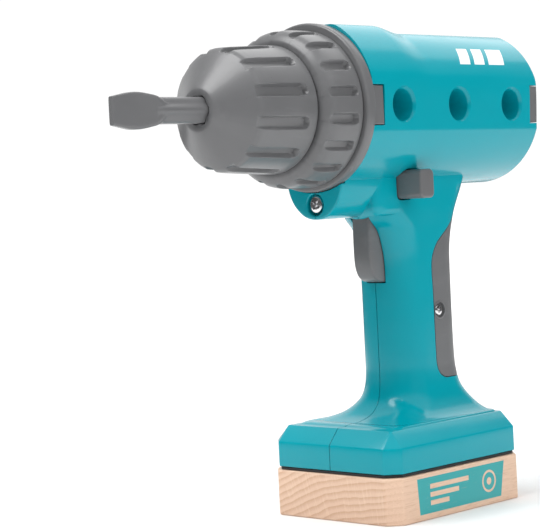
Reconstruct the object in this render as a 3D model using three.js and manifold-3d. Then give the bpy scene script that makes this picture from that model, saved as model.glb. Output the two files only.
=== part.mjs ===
// Toy power drill, battery driven, on a wooden foot block.
// Millimetres, +Z up.  The bit points along -X, the left side faces -Y.
// Origin: centre of the underside of the wooden block.

import * as THREE from "three";
import { mergeVertices } from "three/addons/utils/BufferGeometryUtils.js";
import Module from "manifold-3d";

const kernel = await Module();
kernel.setup();

// Gaps
const GAP = 0.3;
const HALF_GAP = 0.15;

// Wooden block and foot
const WOOD_HALF_LENGTH = 35.9;
const WOOD_HALF_WIDTH = 28.8;
const WOOD_HEIGHT = 15.9;
const FOOT_HALF_LENGTH = 35.5;
const FOOT_HALF_WIDTH = 28.4;
const FOOT_CORNER = 4.6;
const FOOT_BOTTOM = 17.1;
const FOOT_BAND_TOP = 25.7;
const FOOT_TOP = 31.1;
const FOOT_INSET = 5.5;
const PLATE_BOTTOM = 16.15;
const PLATE_TOP = 16.85;
const BASE_SCREWS = [[-26, -17], [26, -17], [-26, 17], [26, 17]];

// Drill axis and main body
const AXIS_Z = 140;
const WALL = 2.2;
const BODY_FRONT = -34.9;
const BODY_REAR = 57.4;
const BODY_RADIUS = 27.3;
const BODY_FLAT = 25.9;
const BODY_TOP = 26.4;
const HUMP_RISE = 2.8;
const HUMP_START = -1;
const HUMP_FULL = -15;
const SOCKET_X = [-18.7, 11.3, 41.3];
const SOCKET_RADIUS = 5.3;
const SOCKET_DEPTH = 10;
const TAB_HALF = 6.5;

// Handle sections: height, front, rear, half width, front corner, rear corner
const HANDLE = [
  [28, -29, 29, 22.4, 3, 3],
  [31.15, -27, 29.8, 22.6, 4, 3],
  [32.2, -18.5, 29.6, 20.2, 8, 5.5],
  [33.6, -13.4, 29.2, 18, 10, 7],
  [35.6, -10.4, 28.5, 16.2, 11, 8],
  [38.5, -8.5, 27.4, 14.7, 12, 8.8],
  [42, -7.7, 26.2, 13.6, 12, 9.2],
  [47, -7.4, 25.1, 13.1, 12, 9.4],
  [53, -7.4, 24.6, 13, 12, 9.5],
  [88, -7.8, 24.5, 13, 12, 9.5],
  [92, -8.6, 24.9, 13, 12, 9.5],
  [95.4, -9.6, 25.6, 13, 12, 9.5],
  [98.5, -11.2, 26.5, 13, 12, 9.5],
  [100.8, -13.5, 27.3, 13, 12, 9.5],
  [104, -16, 28.6, 13, 12, 9.5],
  [110, -20, 31.8, 12.8, 11, 9],
  [118, -22, 36, 12.8, 11, 9],
];

// Side outline of the grip door
const DOOR_OUTLINE = [
  [8.6, 49.5], [8.4, 54], [8.2, 76], [8, 83], [8.6, 87.5], [11.3, 92],
  [16.1, 96], [21.7, 100.3], [32, 106], [32, 44.4], [13, 44.4], [9.8, 46.4],
];
const DOOR_WALL = 1.8;
const GROOVE_COUNT = 8;
const GROOVE_FIRST = 50.3;
const GROOVE_PITCH = 5.2;
const DOOR_SCREW_X = 11.3;
const DOOR_SCREW_Z = 68.5;

// Rounded chin under the bezel, with the housing screw in its middle
const CHIN_FRONT = -36.8;
const CHIN_REAR = -20;
const CHIN_SCREW_Z = 107.9;

// Chuck, ring, bezel, bit
const NOSE_X = -89.7;
const CHUCK_REAR = -56;
const CHUCK_RADIUS = 21.4;
const CHUCK_POCKETS = 12;
const RING_FRONT = -55.6;
const RING_REAR = -39.6;
const RING_RADIUS = 26.5;
const RING_BORE = 17.9;
const RING_POCKETS = 18;
const BEZEL_FRONT = -39.2;
const BEZEL_REAR = -35.2;
const BEZEL_RADIUS = 27.9;
const BIT_TIP = -126.5;
const BIT_END = -70;
const SHANK_RADIUS = 4.6;
const BIT_HOLE_RADIUS = 4.95;

// Drive train
const MODULE = 0.6;
const SMALL_TEETH = 10;
const LARGE_TEETH = 30;
const GEAR_OFFSET = MODULE * (SMALL_TEETH + LARGE_TEETH) / 2;
const LAY_Z = AXIS_Z + GEAR_OFFSET;
const SPINDLE_RADIUS = 4;
const MOTOR_FRONT = -3.4;
const MOTOR_REAR = 20;
const MOTOR_RADIUS = 10;
const MOTOR_FLAT = 7.6;

// Controls
const TRIGGER_HALF = 4;
const TRIGGER_FRONT = -14;
const TRIGGER_BOTTOM = 79.6;
const TRIGGER_TOP = 101.5;
const BUTTON_X = [-8.3, -0.9];
const BUTTON_Z = [108.3, 118.3];
const BUTTON_Y = [-23.3, 14.4];

// Cells
const CELL_RADIUS = 5.25;
const CELL_X = 14.6;
const CELL_Y = 5.6;
const CELL_BOTTOM = 46.1;
const CELL_LENGTH = 43.7;

// ---------------------------------------------------------------- helpers

function signedVolume(position, index) {
  const a = new THREE.Vector3();
  const b = new THREE.Vector3();
  const c = new THREE.Vector3();
  let sum = 0;
  for (let i = 0; i < index.count; i += 3) {
    a.fromBufferAttribute(position, index.getX(i));
    b.fromBufferAttribute(position, index.getX(i + 1));
    c.fromBufferAttribute(position, index.getX(i + 2));
    sum += a.dot(b.cross(c));
  }
  return sum;
}

function solid(geometry) {
  geometry.deleteAttribute("normal");
  geometry.deleteAttribute("uv");
  const merged = mergeVertices(geometry, 1e-4);
  const triVerts = Uint32Array.from(merged.index.array);
  if (signedVolume(merged.attributes.position, merged.index) < 0) {
    for (let i = 0; i < triVerts.length; i += 3) {
      const keep = triVerts[i];
      triVerts[i] = triVerts[i + 1];
      triVerts[i + 1] = keep;
    }
  }
  const vertProperties = Float32Array.from(merged.attributes.position.array);
  const mesh = new kernel.Mesh({ numProp: 3, vertProperties, triVerts });
  mesh.merge();
  return new kernel.Manifold(mesh);
}

function box(x, y, z) {
  const geometry = new THREE.BoxGeometry(x[1] - x[0], y[1] - y[0], z[1] - z[0]);
  geometry.translate((x[0] + x[1]) / 2, (y[0] + y[1]) / 2, (z[0] + z[1]) / 2);
  return solid(geometry);
}

function rodX(radius, x, y, z, segments = 24) {
  const geometry = new THREE.CylinderGeometry(radius, radius, x[1] - x[0], segments);
  geometry.rotateZ(Math.PI / 2);
  geometry.translate((x[0] + x[1]) / 2, y, z);
  return solid(geometry);
}

function rodY(radius, x, y, z, segments = 24) {
  const geometry = new THREE.CylinderGeometry(radius, radius, y[1] - y[0], segments);
  geometry.translate(x, (y[0] + y[1]) / 2, z);
  return solid(geometry);
}

function rodZ(radius, x, y, z, segments = 24) {
  const geometry = new THREE.CylinderGeometry(radius, radius, z[1] - z[0], segments);
  geometry.rotateX(Math.PI / 2);
  geometry.translate(x, y, (z[0] + z[1]) / 2);
  return solid(geometry);
}

// Revolves a list of [x, radius] points about a line parallel to X.
function turned(profile, segments = 40, z = AXIS_Z) {
  const points = profile.map(([x, radius]) => new THREE.Vector2(radius, x));
  points.push(points[0].clone());
  const geometry = new THREE.LatheGeometry(points, segments);
  geometry.rotateZ(-Math.PI / 2);
  geometry.translate(0, 0, z);
  return solid(geometry);
}

// Extrudes a list of [x, z] points through a range of y.
function sidePrism(points, y) {
  const shape = new THREE.Shape(points.map(([x, z]) => new THREE.Vector2(x, z)));
  const geometry = new THREE.ExtrudeGeometry(shape, { depth: y[1] - y[0], bevelEnabled: false });
  geometry.rotateX(Math.PI / 2);
  geometry.translate(0, y[1], 0);
  return solid(geometry);
}

// Extrudes a list of [y, z] points through a range of x.
function endPrism(points, x) {
  const shape = new THREE.Shape(points.map(([y, z]) => new THREE.Vector2(y, z)));
  const geometry = new THREE.ExtrudeGeometry(shape, { depth: x[1] - x[0], bevelEnabled: false });
  geometry.rotateX(Math.PI / 2);
  geometry.rotateZ(Math.PI / 2);
  geometry.translate(x[0], 0, 0);
  return solid(geometry);
}

// Joins equal rings of points into a closed body.
function loft(rings) {
  const count = rings[0].length;
  const positions = rings.flat(2);
  const index = [];
  for (let ring = 0; ring < rings.length - 1; ring += 1) {
    for (let i = 0; i < count; i += 1) {
      const j = (i + 1) % count;
      const a = ring * count + i;
      const b = ring * count + j;
      const c = (ring + 1) * count + i;
      const d = (ring + 1) * count + j;
      index.push(a, b, d, a, d, c);
    }
  }
  const last = (rings.length - 1) * count;
  for (let i = 1; i < count - 1; i += 1) {
    index.push(0, i + 1, i);
    index.push(last, last + i, last + i + 1);
  }
  const geometry = new THREE.BufferGeometry();
  geometry.setAttribute("position", new THREE.Float32BufferAttribute(positions, 3));
  geometry.setIndex(index);
  return solid(geometry);
}

function union(parts) {
  return parts.reduce((whole, part) => whole.add(part));
}

function without(whole, parts) {
  return parts.reduce((rest, part) => rest.subtract(part), whole);
}

// Coil about Z as a tube of square-cut rounds, narrowing by draw over its height.
function coil(radius, wire, z, turns, draw = 0) {
  const points = [];
  const steps = turns * 8;
  for (let i = 0; i <= steps; i += 1) {
    const angle = (i / 8) * 2 * Math.PI;
    const height = z[0] + wire + (z[1] - z[0] - 2 * wire) * (i / steps);
    const reach = radius - draw * i / steps;
    points.push(new THREE.Vector3(reach * Math.cos(angle), reach * Math.sin(angle), height));
  }
  const path = new THREE.CatmullRomCurve3(points);
  const section = new THREE.Shape();
  section.absarc(0, 0, wire, 0, 2 * Math.PI, true);
  const geometry = new THREE.ExtrudeGeometry(section, {
    steps,
    extrudePath: path,
    curveSegments: 2,
  });
  return geometry;
}

// Toothed wheel about a line parallel to X.
function gear(teeth, x, z, turn, bore) {
  const pitch = MODULE * teeth / 2;
  const tip = pitch + 0.85 * MODULE;
  const root = pitch - 1.2 * MODULE;
  const step = 2 * Math.PI / teeth;
  const points = [];
  for (let i = 0; i < teeth; i += 1) {
    const centre = turn + i * step;
    const marks = [[-0.29, root], [-0.115, tip], [0.115, tip], [0.29, root]];
    for (const [part, radius] of marks) {
      const angle = centre + part * step;
      points.push([radius * Math.cos(angle), z + radius * Math.sin(angle)]);
    }
  }
  return endPrism(points, x).subtract(rodX(bore, [x[0] - 1, x[1] + 1], 0, z, 12));
}

// Rounded slot lying along X on a cone or cylinder, cut to a given depth.
function pocket(x, half, inner, outer, angle, taper) {
  const shape = new THREE.Shape();
  shape.absarc(x[1] - half, 0, half, -Math.PI / 2, Math.PI / 2, false);
  shape.absarc(x[0] + half, 0, half, Math.PI / 2, 1.5 * Math.PI, false);
  const geometry = new THREE.ExtrudeGeometry(shape, {
    depth: outer - inner,
    bevelEnabled: false,
    curveSegments: 1,
  });
  geometry.translate(-x[1], 0, inner);
  geometry.rotateY(-taper);
  geometry.translate(x[1], 0, 0);
  geometry.rotateX(angle);
  geometry.translate(0, 0, AXIS_Z);
  return solid(geometry);
}

// ------------------------------------------------------------ shared forms

// Ring of points across the body at one x, drawn in by inset.
function bodyRing(x, inset) {
  const rise = THREE.MathUtils.smoothstep(HUMP_START - x, 0, HUMP_START - HUMP_FULL);
  const radius = BODY_RADIUS - inset;
  const flat = BODY_FLAT - inset;
  const top = BODY_TOP - inset;
  const stretch = 1 + rise * HUMP_RISE / top;
  const side = Math.asin(Math.sqrt(radius * radius - flat * flat) / radius);
  const crown = Math.asin(top / radius);
  const ring = [];
  const push = (y, z) => ring.push([x, y, AXIS_Z + (z > 0 ? z * stretch : z)]);
  for (let i = 0; i <= 4; i += 1) {
    const angle = side + (crown - side) * i / 4;
    push(radius * Math.cos(angle), radius * Math.sin(angle));
  }
  for (let i = 4; i >= 0; i -= 1) {
    const angle = side + (crown - side) * i / 4;
    push(-radius * Math.cos(angle), radius * Math.sin(angle));
  }
  for (let i = 0; i <= 10; i += 1) {
    const angle = Math.PI + side + (Math.PI - 2 * side) * i / 10;
    push(radius * Math.cos(angle), radius * Math.sin(angle));
  }
  return ring;
}

function bodySolid(inset, front, rear) {
  const stations = [front, HUMP_FULL, -11.5, -8, -4.5, HUMP_START, rear - 1.4, rear - 0.5, rear];
  const drawn = [0, 0, 0, 0, 0, 0, 0, 0.5, 1.5];
  return loft(stations.map((x, i) => bodyRing(x, inset + drawn[i])));
}

// Rounded four-cornered ring of points across the handle.
function handleRing([z, front, rear, half, frontCorner, rearCorner], inset) {
  const corners = [
    [front, -1, -1, frontCorner],
    [rear, 1, -1, rearCorner],
    [rear, 1, 1, rearCorner],
    [front, -1, 1, frontCorner],
  ];
  const ring = [];
  corners.forEach(([x, sx, sy, corner], k) => {
    const radius = Math.max(corner - inset, 0.5);
    const cx = x - sx * (inset + radius);
    const cy = sy * (half - inset - radius);
    const start = Math.PI + k * Math.PI / 2;
    for (let i = 0; i <= 4; i += 1) {
      const angle = start + (Math.PI / 2) * i / 4;
      ring.push([cx + radius * Math.cos(angle), cy + radius * Math.sin(angle), z]);
    }
  });
  return ring;
}

function handleSolid(inset) {
  return loft(HANDLE.map((row) => handleRing(row, inset)));
}

function octagon(halfLength, halfWidth, corner, z) {
  return [
    [-halfLength + corner, -halfWidth, z], [halfLength - corner, -halfWidth, z],
    [halfLength, -halfWidth + corner, z], [halfLength, halfWidth - corner, z],
    [halfLength - corner, halfWidth, z], [-halfLength + corner, halfWidth, z],
    [-halfLength, halfWidth - corner, z], [-halfLength, -halfWidth + corner, z],
  ];
}

function footSolid(inset, bottom, drop) {
  const length = FOOT_HALF_LENGTH - inset;
  const width = FOOT_HALF_WIDTH - inset;
  return loft([
    octagon(length, width, FOOT_CORNER, bottom),
    octagon(length, width, FOOT_CORNER, FOOT_BAND_TOP - drop / 2),
    octagon(length - FOOT_INSET, width - FOOT_INSET, 0.3, FOOT_TOP - drop),
  ]);
}

const NECK_OUTLINE = [
  [-24, 122], [-24, 106], [-22, 102.9], [-8, 102.9], [0, 102.9], [20, 106], [28, 114],
  [28, 122],
];

// Right half of the chin seen from the front, from top to bottom
const CHIN_OUTLINE = [
  [12.6, 122], [12.6, 115], [12.1, 112.6], [11.2, 110.2], [10, 108], [8.2, 106],
  [5.4, 103.9], [2.8, 102.95],
];

// Block between the body and the handle, its lower edges rounded.
function neckSolid() {
  const layers = [[10.4, 0], [12.1, 0.7], [12.8, 2.4]];
  const inset = (drop) => NECK_OUTLINE.map(([x, z]) => [
    x < -20 ? x + drop * 0.5 : x, z < 112 ? z + drop : z,
  ]);
  return union(layers.map(([half, drop]) => sidePrism(inset(drop), [-half, half])));
}

function chinSolid() {
  const left = CHIN_OUTLINE.map(([y, z]) => [-y, z]);
  const right = CHIN_OUTLINE.slice().reverse();
  return endPrism([...left, ...right], [CHIN_FRONT, CHIN_REAR]);
}

// Room left clear for the ring, the bezel and the chuck.
function frontClearance() {
  const ring = rodX(RING_RADIUS + 0.5, [-120, BEZEL_FRONT - 0.1], 0, AXIS_Z, 48);
  const bezel = rodX(BEZEL_RADIUS + GAP, [-60, BODY_FRONT], 0, AXIS_Z, 48);
  return ring.add(bezel);
}

function socketCup(x, side) {
  const outer = side < 0 ? [-BODY_FLAT + 0.4, -BODY_FLAT + SOCKET_DEPTH + 1.6]
    : [BODY_FLAT - SOCKET_DEPTH - 1.6, BODY_FLAT - 0.4];
  return rodY(SOCKET_RADIUS + 1.6, x, outer, AXIS_Z, 12);
}

function socketHole(x, side) {
  const depth = side < 0 ? [-BODY_FLAT - 2, -BODY_FLAT + SOCKET_DEPTH]
    : [BODY_FLAT - SOCKET_DEPTH, BODY_FLAT + 2];
  return rodY(SOCKET_RADIUS, x, depth, AXIS_Z, 16);
}

function motorEnvelope(extra) {
  return rodX(MOTOR_RADIUS + extra, [-50, 80], 0, AXIS_Z, 24);
}

function gearboxOutline(radius) {
  const points = [];
  for (let i = 0; i <= 10; i += 1) {
    const angle = Math.PI + Math.PI * i / 10;
    points.push([radius * Math.cos(angle), AXIS_Z + radius * Math.sin(angle)]);
  }
  for (let i = 0; i <= 10; i += 1) {
    const angle = Math.PI * i / 10;
    points.push([radius * Math.cos(angle), LAY_Z + radius * Math.sin(angle)]);
  }
  return points;
}

// ------------------------------------------------------------- body shells

function shellSolid() {
  const outer = union([
    bodySolid(0, BODY_FRONT, BODY_REAR),
    handleSolid(0),
    footSolid(0, FOOT_BOTTOM, 0),
    neckSolid(),
    chinSolid(),
  ]);
  const inner = union([
    bodySolid(WALL, BODY_FRONT - 3, BODY_REAR - WALL),
    handleSolid(WALL),
    footSolid(WALL, FOOT_BOTTOM - 2, WALL),
    box([-21.6, -10], [-10, 10], [105.4, 122]),
  ]);
  const ribs = [-27, 1, 17].map((x) => box([x, x + 1.6], [-40, 40], [112, 170]));
  const cradle = union(ribs).intersect(bodySolid(1, BODY_FRONT, BODY_REAR));
  const openCradle = without(cradle, [
    motorEnvelope(0.4),
    endPrism(gearboxOutline(12.3), [-50, -3]),
    box([-40, 60], [-14, 14], [100, 140]),
  ]);
  const posts = BASE_SCREWS.map(([x, y]) => rodZ(3.3, x, y, [FOOT_BOTTOM + 2.1, FOOT_TOP - 3], 12));
  const cups = SOCKET_X.flatMap((x) => [socketCup(x, -1), socketCup(x, 1)]);
  const filled = union([outer.subtract(inner), openCradle, ...posts, ...cups]);
  const doorRoom = sidePrism(DOOR_OUTLINE, [-20, 20]);
  return without(filled, [
    frontClearance(),
    doorRoom,
    ...SOCKET_X.flatMap((x) => [socketHole(x, -1), socketHole(x, 1)]),
    ...BASE_SCREWS.map(([x, y]) => rodZ(1.75, x, y, [FOOT_BOTTOM - 1, 27.2], 8)),
    box([-60, BODY_FRONT + 6], [-40, -23.6], [AXIS_Z - TAB_HALF - GAP, AXIS_Z + TAB_HALF + GAP]),
    box([-60, BODY_FRONT + 6], [23.6, 40], [AXIS_Z - TAB_HALF - GAP, AXIS_Z + TAB_HALF + GAP]),
    box([52.2, 70], [-40, -22.6], [AXIS_Z - TAB_HALF - GAP, AXIS_Z + TAB_HALF + GAP]),
    box([52.2, 70], [22.6, 40], [AXIS_Z - TAB_HALF - GAP, AXIS_Z + TAB_HALF + GAP]),
    box([54, 70], [-40, 40], [AXIS_Z - TAB_HALF - GAP, AXIS_Z + TAB_HALF + GAP]),
    box([-30, -3.6], [-TRIGGER_HALF - GAP, TRIGGER_HALF + GAP],
      [TRIGGER_BOTTOM - GAP, TRIGGER_TOP + GAP]),
    box([BUTTON_X[0] - 0.4, BUTTON_X[1] + 0.4], [-40, 40],
      [BUTTON_Z[0] - 0.4, BUTTON_Z[1] + 0.4]),
    rodX(3.75, [CHIN_FRONT - 2, CHIN_FRONT + 2.1], 0, CHIN_SCREW_Z, 16),
    rodX(1.6, [CHIN_FRONT, CHIN_FRONT + 5.6], 0, CHIN_SCREW_Z, 12),
  ]);
}

function shellHalf(whole, side) {
  const range = side < 0 ? [-60, -HALF_GAP] : [HALF_GAP, 60];
  return whole.intersect(box([-150, 100], range, [0, 220]));
}

// --------------------------------------------------------------- nose end

function frontBezel() {
  const flange = turned([
    [BEZEL_FRONT, 6], [BEZEL_FRONT, BEZEL_RADIUS - 0.9], [BEZEL_FRONT + 0.9, BEZEL_RADIUS],
    [BEZEL_REAR, BEZEL_RADIUS], [BEZEL_REAR, 23.2], [-32.4, 23.2], [-32.4, 21.2],
    [BEZEL_REAR, 21.2], [BEZEL_REAR, 6],
  ], 36);
  const hub = turned([
    [-54.6, 13.5], [-54.6, RING_BORE - GAP], [-38, RING_BORE - GAP], [-38, 13.5],
  ], 24);
  const tabs = [-1, 1].map((side) => {
    const y = side < 0 ? [-26.1, -23.9] : [23.9, 26.1];
    return box([BEZEL_FRONT + 1, -29.2], y, [AXIS_Z - TAB_HALF, AXIS_Z + TAB_HALF]);
  });
  return union([flange, hub, ...tabs]);
}

function torqueRing() {
  const body = turned([
    [RING_FRONT, RING_BORE], [RING_FRONT, 22], [RING_FRONT + 0.5, 23.4],
    [RING_FRONT + 1.9, 25.2], [RING_FRONT + 4.2, RING_RADIUS - 0.1],
    [RING_REAR - 0.6, RING_RADIUS], [RING_REAR, RING_RADIUS - 0.6], [RING_REAR, RING_BORE],
  ], 36);
  const pockets = [];
  for (let i = 0; i < RING_POCKETS; i += 1) {
    const angle = (i + 0.5) * 2 * Math.PI / RING_POCKETS;
    pockets.push(pocket([-54.6, -41.6], 1.8, RING_RADIUS - 1, 30, angle, 0));
  }
  return without(body, pockets);
}

function lobedOutline(radius, depth) {
  const points = [];
  for (let i = 0; i < 24; i += 1) {
    const angle = i * Math.PI / 12;
    const reach = radius - depth * (0.5 - 0.5 * Math.cos(6 * angle));
    points.push([reach * Math.cos(angle), AXIS_Z + reach * Math.sin(angle)]);
  }
  return points;
}

function chuckSleeve() {
  const body = turned([
    [NOSE_X, 0], [NOSE_X, 7], [NOSE_X + 0.5, 7.6], [-84.6, 13.6], [-80.2, 18.6],
    [-77.6, 20], [CHUCK_REAR - 0.6, CHUCK_RADIUS], [CHUCK_REAR, CHUCK_RADIUS - 0.6],
    [CHUCK_REAR, 16.6], [-72, 15.4], [-72, 8.6], [CHUCK_REAR, 8.6], [CHUCK_REAR, 0],
  ]);
  const pockets = [];
  for (let i = 0; i < CHUCK_POCKETS; i += 1) {
    const angle = (i + 0.5) * 2 * Math.PI / CHUCK_POCKETS;
    pockets.push(pocket([-85, -60], 2.1, 20.2, 30, angle, 0.055));
  }
  const bitHole = endPrism(lobedOutline(BIT_HOLE_RADIUS, 0.6), [NOSE_X - 5, BIT_END + 0.6]);
  const spindleHole = rodX(SPINDLE_RADIUS + 0.9, [-68, -50], 0, AXIS_Z, 24);
  return without(body, [...pockets, bitHole, spindleHole]);
}

function spindle() {
  return turned([
    [-67.6, 0], [-67.6, SPINDLE_RADIUS + 0.6], [-56.4, SPINDLE_RADIUS + 0.6],
    [-56.4, SPINDLE_RADIUS], [-21.6, SPINDLE_RADIUS], [-21.6, 0],
  ], 24);
}

function spindleBush() {
  return turned([
    [-43, 4.25], [-43, 8], [BEZEL_FRONT - GAP, 8], [BEZEL_FRONT - GAP, 5.7],
    [-33.5, 5.7], [-33.5, 4.25],
  ], 24);
}

function driverBit() {
  const shank = endPrism(lobedOutline(SHANK_RADIUS, 0.55), [-112, BIT_END]);
  const blade = loft([
    bladeRing(BIT_TIP, 4.5, 1.1), bladeRing(-119, 5.8, 1.9), bladeRing(-115.5, 5.75, 2.3),
    bladeRing(-109, 4.6, 3.9), bladeRing(-106, 4.2, 4.1),
  ]);
  return shank.add(blade);
}

// Cross-section of the blade: tall in z, thin across, with cut corners.
function bladeRing(x, tall, thin) {
  const cut = Math.min(0.5, thin * 0.3);
  return [
    [x, thin, AXIS_Z - tall + cut], [x, thin, AXIS_Z + tall - cut],
    [x, thin - cut, AXIS_Z + tall], [x, -thin + cut, AXIS_Z + tall],
    [x, -thin, AXIS_Z + tall - cut], [x, -thin, AXIS_Z - tall + cut],
    [x, -thin + cut, AXIS_Z - tall], [x, thin - cut, AXIS_Z - tall],
  ];
}

// -------------------------------------------------------------- drive train

function gearboxCase() {
  const shell = endPrism(gearboxOutline(11.9), [-31.8, -6]);
  const room = endPrism(gearboxOutline(10.5), [-30, -4]);
  return without(shell, [
    room,
    rodX(SPINDLE_RADIUS + 0.3, [-40, -29], 0, AXIS_Z),
    rodX(1.8, [-40, -29], 0, LAY_Z, 16),
  ]);
}

function gearboxCover() {
  const plate = endPrism(gearboxOutline(11.9), [-5.7, -3.9]);
  return without(plate, [
    rodX(3.6, [-8, 0], 0, AXIS_Z, 20),
    rodX(1.8, [-8, 0], 0, LAY_Z, 16),
  ]);
}

function outputGear() {
  return gear(LARGE_TEETH, [-27.6, -22.6], AXIS_Z, Math.PI / 2, SPINDLE_RADIUS + 0.3);
}

function layGear() {
  const toGap = Math.PI / SMALL_TEETH;
  const small = gear(SMALL_TEETH, [-28, -17.9], LAY_Z, -Math.PI / 2 + toGap, 1.75);
  const large = gear(LARGE_TEETH, [-18, -13], LAY_Z, -Math.PI / 2, 1.75);
  return small.add(large);
}

function layAxle() {
  return rodX(1.5, [-33.4, -2.6], 0, LAY_Z, 16);
}

function motorPinion() {
  const toGap = Math.PI / SMALL_TEETH;
  return gear(SMALL_TEETH, [-17.4, -9], AXIS_Z, Math.PI / 2 + toGap, 1.25);
}

function motorRotor() {
  const shaft = rodX(1, [-18, 25], 0, AXIS_Z, 16);
  const poles = [];
  for (let i = 0; i < 3; i += 1) {
    const pole = box([1.5, 13.5], [-2.4, 2.4], [0, 6.2]);
    poles.push(pole.rotate([120 * i, 0, 0]).translate([0, 0, AXIS_Z]));
  }
  const commutator = rodX(2.6, [13, 19.6], 0, AXIS_Z, 16);
  return union([shaft, ...poles, commutator]);
}

function motorCan() {
  const tube = turned([
    [MOTOR_FRONT, 1.4], [MOTOR_FRONT, MOTOR_RADIUS], [MOTOR_REAR, MOTOR_RADIUS],
    [MOTOR_REAR, 7.1], [-1.8, 7.1], [-1.8, 1.4],
  ], 20);
  const boss = turned([[-6.6, 1.4], [-6.6, 3.1], [-3, 3.1], [-3, 1.4]], 20);
  const flats = [box([-20, 40], [-15, 15], [AXIS_Z + MOTOR_FLAT, AXIS_Z + 15]),
    box([-20, 40], [-15, 15], [AXIS_Z - 15, AXIS_Z - MOTOR_FLAT])];
  return without(tube, flats).add(boss);
}

function motorEndCap() {
  const cap = turned([
    [20.3, 1.4], [20.3, 9.6], [23, 9.6], [23, 4], [24.6, 4], [24.6, 1.4],
  ], 20);
  const flats = [box([18, 40], [-15, 15], [AXIS_Z + MOTOR_FLAT, AXIS_Z + 15]),
    box([18, 40], [-15, 15], [AXIS_Z - 15, AXIS_Z - MOTOR_FLAT])];
  const terminals = [-1, 1].map((side) => {
    const y = side < 0 ? [-7.6, -6.8] : [6.8, 7.6];
    return box([22.8, 26.8], y, [AXIS_Z - 1.4, AXIS_Z + 1.4]);
  });
  return union([without(cap, flats), ...terminals]);
}

// ---------------------------------------------------------------- controls

function trigger() {
  const half = TRIGGER_HALF;
  const face = TRIGGER_FRONT;
  const outline = [
    [-1.4, TRIGGER_TOP], [face + 0.4, TRIGGER_TOP], [face, TRIGGER_TOP - 4],
    [face - 0.1, 92], [face + 0.1, 87], [face + 0.6, 84], [face + 1.9, 81.6],
    [face + 4, 80.1], [face + 6.4, TRIGGER_BOTTOM], [-1.4, TRIGGER_BOTTOM],
  ];
  const blade = sidePrism(outline, [-half, half]);
  const stop = box([-3.2, -1.4], [-6.4, 6.4], [82.5, 98.5]);
  const post = rodX(1, [-2, 0.6], 0, 90.5, 10);
  return union([blade, stop, post]);
}

function triggerSpring() {
  const geometry = coil(2.5, 0.35, [-1, 3.1], 3);
  geometry.rotateY(Math.PI / 2);
  geometry.translate(0, 0, 90.5);
  return solid(geometry);
}

function triggerSwitch() {
  const block = box([3.4, 7], [-6, 6], [83.5, 98]);
  const seat = box([3.2, 5.2], [-1.4, 1.4], [89.1, 91.9]);
  const terminals = [-3.6, 0, 3.6].map((y) => box([6.8, 9.6], [y - 0.9, y + 0.9], [94.6, 95.4]));
  return union([block.subtract(seat), ...terminals]);
}

function directionButton() {
  const bar = roundedBar(BUTTON_X, BUTTON_Y, BUTTON_Z, 1.6);
  const fin = box([-5.6, -3.6], [-5, -3], [BUTTON_Z[1] - 0.5, 121]);
  return bar.add(fin);
}

// Bar along Y with rounded long edges.
function roundedBar(x, y, z, corner) {
  const ring = (at, inset) => {
    const points = [];
    const corners = [[x[0], z[0], 1, 1, 2], [x[1], z[0], -1, 1, 3],
      [x[1], z[1], -1, -1, 0], [x[0], z[1], 1, -1, 1]];
    for (const [cx, cz, sx, sz, quarter] of corners) {
      for (let i = 0; i <= 4; i += 1) {
        const angle = (quarter + i / 4) * Math.PI / 2;
        points.push([
          cx + sx * corner + (corner - inset) * Math.cos(angle), at,
          cz + sz * corner + (corner - inset) * Math.sin(angle),
        ]);
      }
    }
    return points;
  };
  return loft([ring(y[0], 0.7), ring(y[0] + 0.7, 0), ring(y[1] - 0.7, 0), ring(y[1], 0.7)]);
}

function changeoverSwitch() {
  const block = box([-9.6, 0.4], [-9, 9], [119, 126.6]);
  const channel = box([-6.2, -3], [-6.6, 6.6], [118, 121.6]);
  const terminals = [-5, 0, 5].map((y) => box([-5.4, -3.8], [y - 0.4, y + 0.4], [126.4, 127.8]));
  return union([block.subtract(channel), ...terminals]);
}

// -------------------------------------------------------------- power pack

function batteryTray() {
  const back = box([7.3, 8.9], [-10.4, 10.4], [43, 93.8]);
  const floor = box([7.3, 18.4], [-9.1, 9.1], [43, 44]);
  const roof = box([7.3, 18], [-9.1, 9.1], [92.8, 93.8]);
  const tab = box([8.7, 12.4], [-10.9, -10.35], [66, 71]);
  const slot = box([DOOR_SCREW_X - 1.2, 20], [-12, -9], [DOOR_SCREW_Z - 1.2, DOOR_SCREW_Z + 1.2]);
  const rooms = [-1, 1].map((side) => (
    rodZ(CELL_RADIUS + 0.2, CELL_X, side * CELL_Y, [44.5, 92.5], 24)
  ));
  const webs = [58, 77].map((z) => box([8, 12], [-10.4, 10.4], [z, z + 2]));
  return without(union([back, floor, roof, tab, ...webs]), [slot, ...rooms]);
}

function batteryCell(side) {
  const cell = rodZ(CELL_RADIUS, 0, 0, [0, CELL_LENGTH], 28);
  const nub = rodZ(1.9, 0, 0, [CELL_LENGTH - 1, CELL_LENGTH + 0.8], 16);
  const whole = cell.add(nub);
  const placed = side < 0 ? whole : whole.rotate([180, 0, 0]).translate([0, 0, CELL_LENGTH]);
  return placed.translate([CELL_X, side * CELL_Y, CELL_BOTTOM + (side < 0 ? 0 : 0.8)]);
}

function contactSpring(side) {
  const z = side < 0 ? [44.8, CELL_BOTTOM - 0.1] : [CELL_BOTTOM + CELL_LENGTH + 0.9, 92.1];
  const geometry = coil(3.4, 0.2, [0, z[1] - z[0]], 2, 1.8);
  if (side > 0) geometry.rotateX(Math.PI);
  geometry.translate(CELL_X, side * CELL_Y, side < 0 ? z[0] : z[1]);
  return solid(geometry);
}

function contactPlate(z, y) {
  return box([CELL_X - 3.6, CELL_X + 3.6], y, [z, z + 0.4]);
}

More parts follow.
